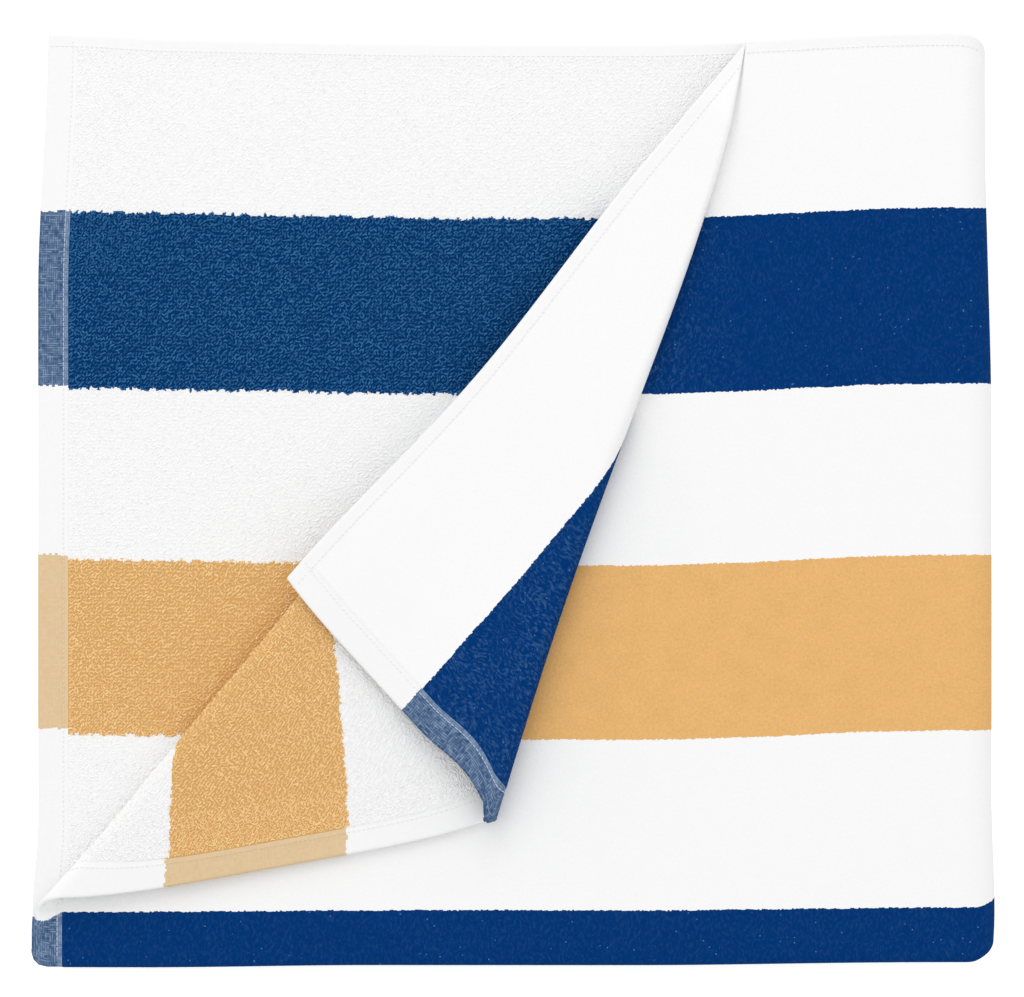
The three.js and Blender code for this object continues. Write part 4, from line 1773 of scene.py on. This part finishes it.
@dataclass(frozen=True)
class Finish:
    """Parts that every cotton finish shares."""

    groups: Groups

    def start(self, name: str, roughness: float = 0.95) -> tuple[bpy.types.Material, Graph, bpy.types.Node]:
        """Make a material with its shader's plain values.

        Args:
            name: The material's name.
            roughness: The shader's roughness.

        Returns:
            The material, its graph and its shader.
        """
        material = bpy.data.materials.new(name)
        material.use_nodes = True
        shader = material.node_tree.nodes["Principled BSDF"]
        shader.inputs["Roughness"].default_value = roughness
        shader.inputs["Specular IOR Level"].default_value = 0.04
        return material, Graph(material.node_tree), shader

    def stripes(self, g: Graph, depth: float, pitch: float, wander: float) -> bpy.types.Node:
        """Place the stripe group.

        Args:
            g: The material's graph.
            depth: How far the borders' teeth reach, in millimetres.
            pitch: Distance from one tooth to the next.
            wander: How far the borders stray over a long way.

        Returns:
            The group's node.
        """
        flat = g.node("UVMap", uv_map=CLOTH_UV).outputs[0]
        inputs = {"Flat": flat, "Tooth Depth": depth, "Tooth Pitch": pitch, "Wander": wander}
        return self.group(g, self.groups.stripes, inputs)

    @staticmethod
    def group(g: Graph, tree: bpy.types.NodeTree, inputs: dict[str, Input]) -> bpy.types.Node:
        """Place a node group and feed its inputs.

        Args:
            g: The material's graph.
            tree: The group.
            inputs: Value or socket for each input's name.

        Returns:
            The group's node.
        """
        node = g.node("Group", node_tree=tree)
        for label, value in inputs.items():
            g.feed(node.inputs[label], value)
        return node

    @staticmethod
    def dyed(g: Graph, masks: bpy.types.Node, dyes: Dyes) -> bpy.types.NodeSocket:
        """Colour the stripes."""
        navy = g.blend(masks.outputs["Navy"], dyes.white, dyes.navy)
        return g.blend(masks.outputs["Gold"], navy, dyes.gold)

    def hemmed(
        self, g: Graph, masks: bpy.types.Node, pile_colour: Input, pile_height: Input, relief: float
    ) -> tuple[bpy.types.NodeSocket, bpy.types.NodeSocket]:
        """Lay the hems' flat weave over a pile.

        Args:
            g: The material's graph.
            masks: The stripe group.
            pile_colour: The pile's colour.
            pile_height: The pile's height.
            relief: How deep the weave is, for a pile one deep.

        Returns:
            The colour and the height with the hems in place.
        """
        weave = self.group(g, self.groups.weave, {"Millimetres": masks.outputs["Millimetres"]})
        undyed = g.math("ADD", weave.outputs["Undyed"], g.math("MULTIPLY", masks.outputs["Seam"], 0.35))
        undyed = g.math("MINIMUM", g.math("MAXIMUM", undyed, 0.0), 1.0)
        cloth = g.blend(undyed, self.dyed(g, masks, HEM_DYES), self.dyed(g, masks, HEM_UNDYED))
        hem = g.math("MAXIMUM", masks.outputs["End Hem"], masks.outputs["Side Hem"])
        colour = g.blend(hem, pile_colour, cloth)
        woven = g.math("MULTIPLY", weave.outputs["Height"], relief)
        height = g.node("Mix", {0: hem, 2: pile_height, 3: woven}).outputs[0]
        return colour, height

    @staticmethod
    def close(g: Graph, shader: bpy.types.Node, colour: Input, height: Input, depth: float) -> None:
        """Join colour and bump to the shader.

        Args:
            g: The material's graph.
            shader: Its shader.
            colour: The surface's colour.
            height: The surface's height, from 0 to 1.
            depth: How deep the relief is, in millimetres.
        """
        g.feed(shader.inputs["Base Color"], colour)
        bump = g.node("Bump", {"Strength": 1.0, "Distance": depth * MM, "Height": height})
        g.feed(shader.inputs["Normal"], bump.outputs[0])


@dataclass(frozen=True)
class VelourFinish(Finish):
    """The sheared face."""

    def build(self) -> bpy.types.Material:
        """Make the material.

        Returns:
            The material.
        """
        material, g, shader = self.start("velour_face")
        masks = self.stripes(g, 0.5, 0.8, 0.9)
        nap = self.group(g, self.groups.nap, {"Millimetres": masks.outputs["Millimetres"], "Lint": 0.32})
        tone = g.node("CombineColor", {k: nap.outputs["Shade"] for k in range(3)}).outputs[0]
        colour = g.blend(1.0, self.dyed(g, masks, VELOUR_DYES), tone, "MULTIPLY")
        # Pale flecks of the nap, thicker over the turned-back corner as painted sheen.
        colour = g.blend(nap.outputs["Fleck"], colour, self.dyed(g, masks, VELOUR_FLECKS))
        colour = g.blend(g.math("MULTIPLY", nap.outputs["Lint"], 0.3), colour, LINT)
        undyed = g.math("SUBTRACT", 1.0, g.math("MAXIMUM", masks.outputs["Navy"], masks.outputs["Gold"]))
        gentle = g.remap(nap.outputs["Shade"], (0.85, 1.15), (0.97, 1.0))
        colour = g.blend(undyed, colour, g.blend(1.0, VELOUR_DYES.white, gentle, "MULTIPLY"))
        colour, height = self.hemmed(g, masks, colour, nap.outputs["Height"], 0.4)
        self.close(g, shader, colour, height, 0.16)
        return material


@dataclass(frozen=True)
class TerryGroundFinish(Finish):
    """The ground that the terry's loops stand on, and the terry that lies hidden; its colour is darker than
    the loops' yarn, as painted shade in the gaps between them.
    """

    def build(self) -> bpy.types.Material:
        """Make the material.

        Returns:
            The material.
        """
        material, g, shader = self.start("terry_ground")
        masks = self.stripes(g, 1.3, 1.2, 1.4)
        loops = g.node("TexVoronoi", {"Vector": masks.outputs["Millimetres"], "Scale": 0.62})
        height = g.math("SUBTRACT", 1.0, loops.outputs["Distance"])
        # Painted shade: the ground darkens a little away from the middle of each small bump.
        tone = g.remap(loops.outputs["Distance"], (0.0, 0.9), (1.0, 0.97))
        colour = g.blend(1.0, self.dyed(g, masks, TERRY_GROUND_DYES_AND_SHADE), tone, "MULTIPLY")
        colour, height = self.hemmed(g, masks, colour, height, 0.2)
        self.close(g, shader, colour, height, 0.14)
        return material


@dataclass(frozen=True)
class LoopFinish(Finish):
    """The yarn of the terry's loops, each loop a little lighter or darker, with a painted highlight on its
    top and painted shade at its feet.
    """

    def build(self) -> bpy.types.Material:
        """Make the material.

        Returns:
            The material.
        """
        material, g, shader = self.start("terry_yarn")
        masks = self.stripes(g, 1.3, 1.2, 1.4)
        # The tint holds a random share for each loop, times painted shade that is lower at the loop's feet.
        tint_and_shade = g.node("Attribute", attribute_name="tint_and_shade").outputs["Fac"]
        colour = g.blend(tint_and_shade, self.dyed(g, masks, LOOP_DARK_AND_SHADED), self.dyed(g, masks, LOOP_LIGHT_AND_HIGHLIT))
        g.feed(shader.inputs["Base Color"], colour)
        return material


@dataclass(frozen=True)
class ThreadFinish(Finish):
    """Pale sewing thread, which takes a little of the colour that it is sewn through."""

    def build(self) -> bpy.types.Material:
        """Make the material.

        Returns:
            The material.
        """
        material, g, shader = self.start("hem_thread", 0.7)
        masks = self.stripes(g, 0.0, 1.0, 0.0)
        place = g.node("TexCoord").outputs["Object"]
        strands = g.node("TexNoise", {"Vector": place, "Scale": 2600.0, "Detail": 2.0}).outputs[0]
        tone = g.remap(strands, (0.3, 0.7), (0.93, 1.0))
        colour = g.blend(1.0, self.dyed(g, masks, THREAD_DYES), tone, "MULTIPLY")
        self.close(g, shader, colour, strands, 0.08)
        return material


# ---- Studio -----------------------------------------------------------------


@dataclass(frozen=True)
class Studio:
    """Pale floor, a soft lamp and a camera straight above."""

    span: float = 0.4122  # width that the camera sees at the towel's level
    height: float = 2.6
    level: float = 0.022
    centre: tuple[float, float] = (-0.0007, 0.0011)
    sensor: float = 36.0

    def floor(self) -> None:
        """Lay a pale floor that keeps the shadow but shows as white."""
        bpy.ops.object.select_all(action="DESELECT")
        bpy.ops.mesh.primitive_grid_add(x_subdivisions=6, y_subdivisions=6, size=8, location=(0, 0, -0.0003))
        floor = bpy.context.object
        floor.name = "floor"
        bpy.ops.object.transform_apply(location=True)
        material = bpy.data.materials.new("floor_white")
        material.use_nodes = True
        g = Graph(material.node_tree)
        shader = material.node_tree.nodes["Principled BSDF"]
        shader.inputs["Base Color"].default_value = (0.93, 0.93, 0.93, 1)
        shader.inputs["Roughness"].default_value = 1.0
        shader.inputs["Specular IOR Level"].default_value = 0.0
        shader.inputs["Emission Color"].default_value = (1, 1, 1, 1)
        seen = g.node("LightPath").outputs["Is Camera Ray"]
        g.feed(shader.inputs["Emission Strength"], g.math("MULTIPLY", seen, 0.5))
        floor.data.materials.append(material)

    def world(self) -> None:
        """Light evenly from all round, and show white behind."""
        world = bpy.data.worlds.new("studio")
        bpy.context.scene.world = world
        world.use_nodes = True
        g = Graph(world.node_tree)
        rays = g.node("LightPath").outputs
        seen = g.math("MAXIMUM", rays["Is Camera Ray"], rays["Is Glossy Ray"])
        seen = g.math("MAXIMUM", seen, rays["Is Transmission Ray"])
        shade = world.node_tree.nodes["Background"]
        shade.inputs["Color"].default_value = (1, 1, 1, 1)
        g.feed(shade.inputs["Strength"], g.remap(seen, (0.0, 1.0), (0.91, 1.0)))

    def lamp(self, name: str, place: tuple[float, float, float], size: float, power: float) -> None:
        """Hang a square soft lamp that faces the towel.

        Args:
            name: The lamp's name.
            place: Where it hangs, in metres.
            size: Length of its side.
            power: Its power in watts.
        """
        data = bpy.data.lights.new(name, "AREA")
        data.size, data.energy = size, power
        lamp = bpy.data.objects.new(name, data)
        lamp.location = place
        lamp.rotation_euler = (-Vector(place)).to_track_quat("-Z", "Y").to_euler()
        bpy.context.scene.collection.objects.link(lamp)

    def camera(self) -> None:
        """Look straight down with a long lens."""
        data = bpy.data.cameras.new("camera")
        data.sensor_width = self.sensor
        data.lens = self.sensor * (self.height - self.level) / self.span
        data.clip_end = 20
        camera = bpy.data.objects.new("camera", data)
        camera.location = (*self.centre, self.height)
        bpy.context.scene.collection.objects.link(camera)
        bpy.context.scene.camera = camera

    def build(self) -> None:
        """Set up the floor, lamp, world and camera."""
        self.floor()
        self.world()
        self.lamp("key", (-0.5, 2.9, 2.1), 2.4, 33.0)
        self.camera()
        bpy.context.scene.view_settings.view_transform = "Standard"


# ---- The towel --------------------------------------------------------------


def main() -> None:
    """Build the towel and its studio."""
    logging.basicConfig(level=logging.INFO, format="%(message)s")
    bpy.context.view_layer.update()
    place = Frame()
    groups = Groups()
    mesher = Mesher()
    main_grid, turned_grid = mesher.main(), mesher.turned()
    surface = weld([main_grid, turned_grid])
    sheet = Sheet(place, surface, mesher.layers)
    cloth = sheet.build([VelourFinish(groups).build(), TerryGroundFinish(groups).build()])
    pile = TerryPile(place, surface, sheet, mesher.corner).build(LoopFinish(groups).build())
    thread = ThreadFinish(groups).build()
    stitches = Stitching(place, mesher).build(main_grid, turned_grid, thread)
    layers = mesher.layers
    flat = (layers.width * MM, layers.pair.length * MM)
    Studio().build()
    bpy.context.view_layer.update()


if __name__ == "__main__":
    main()
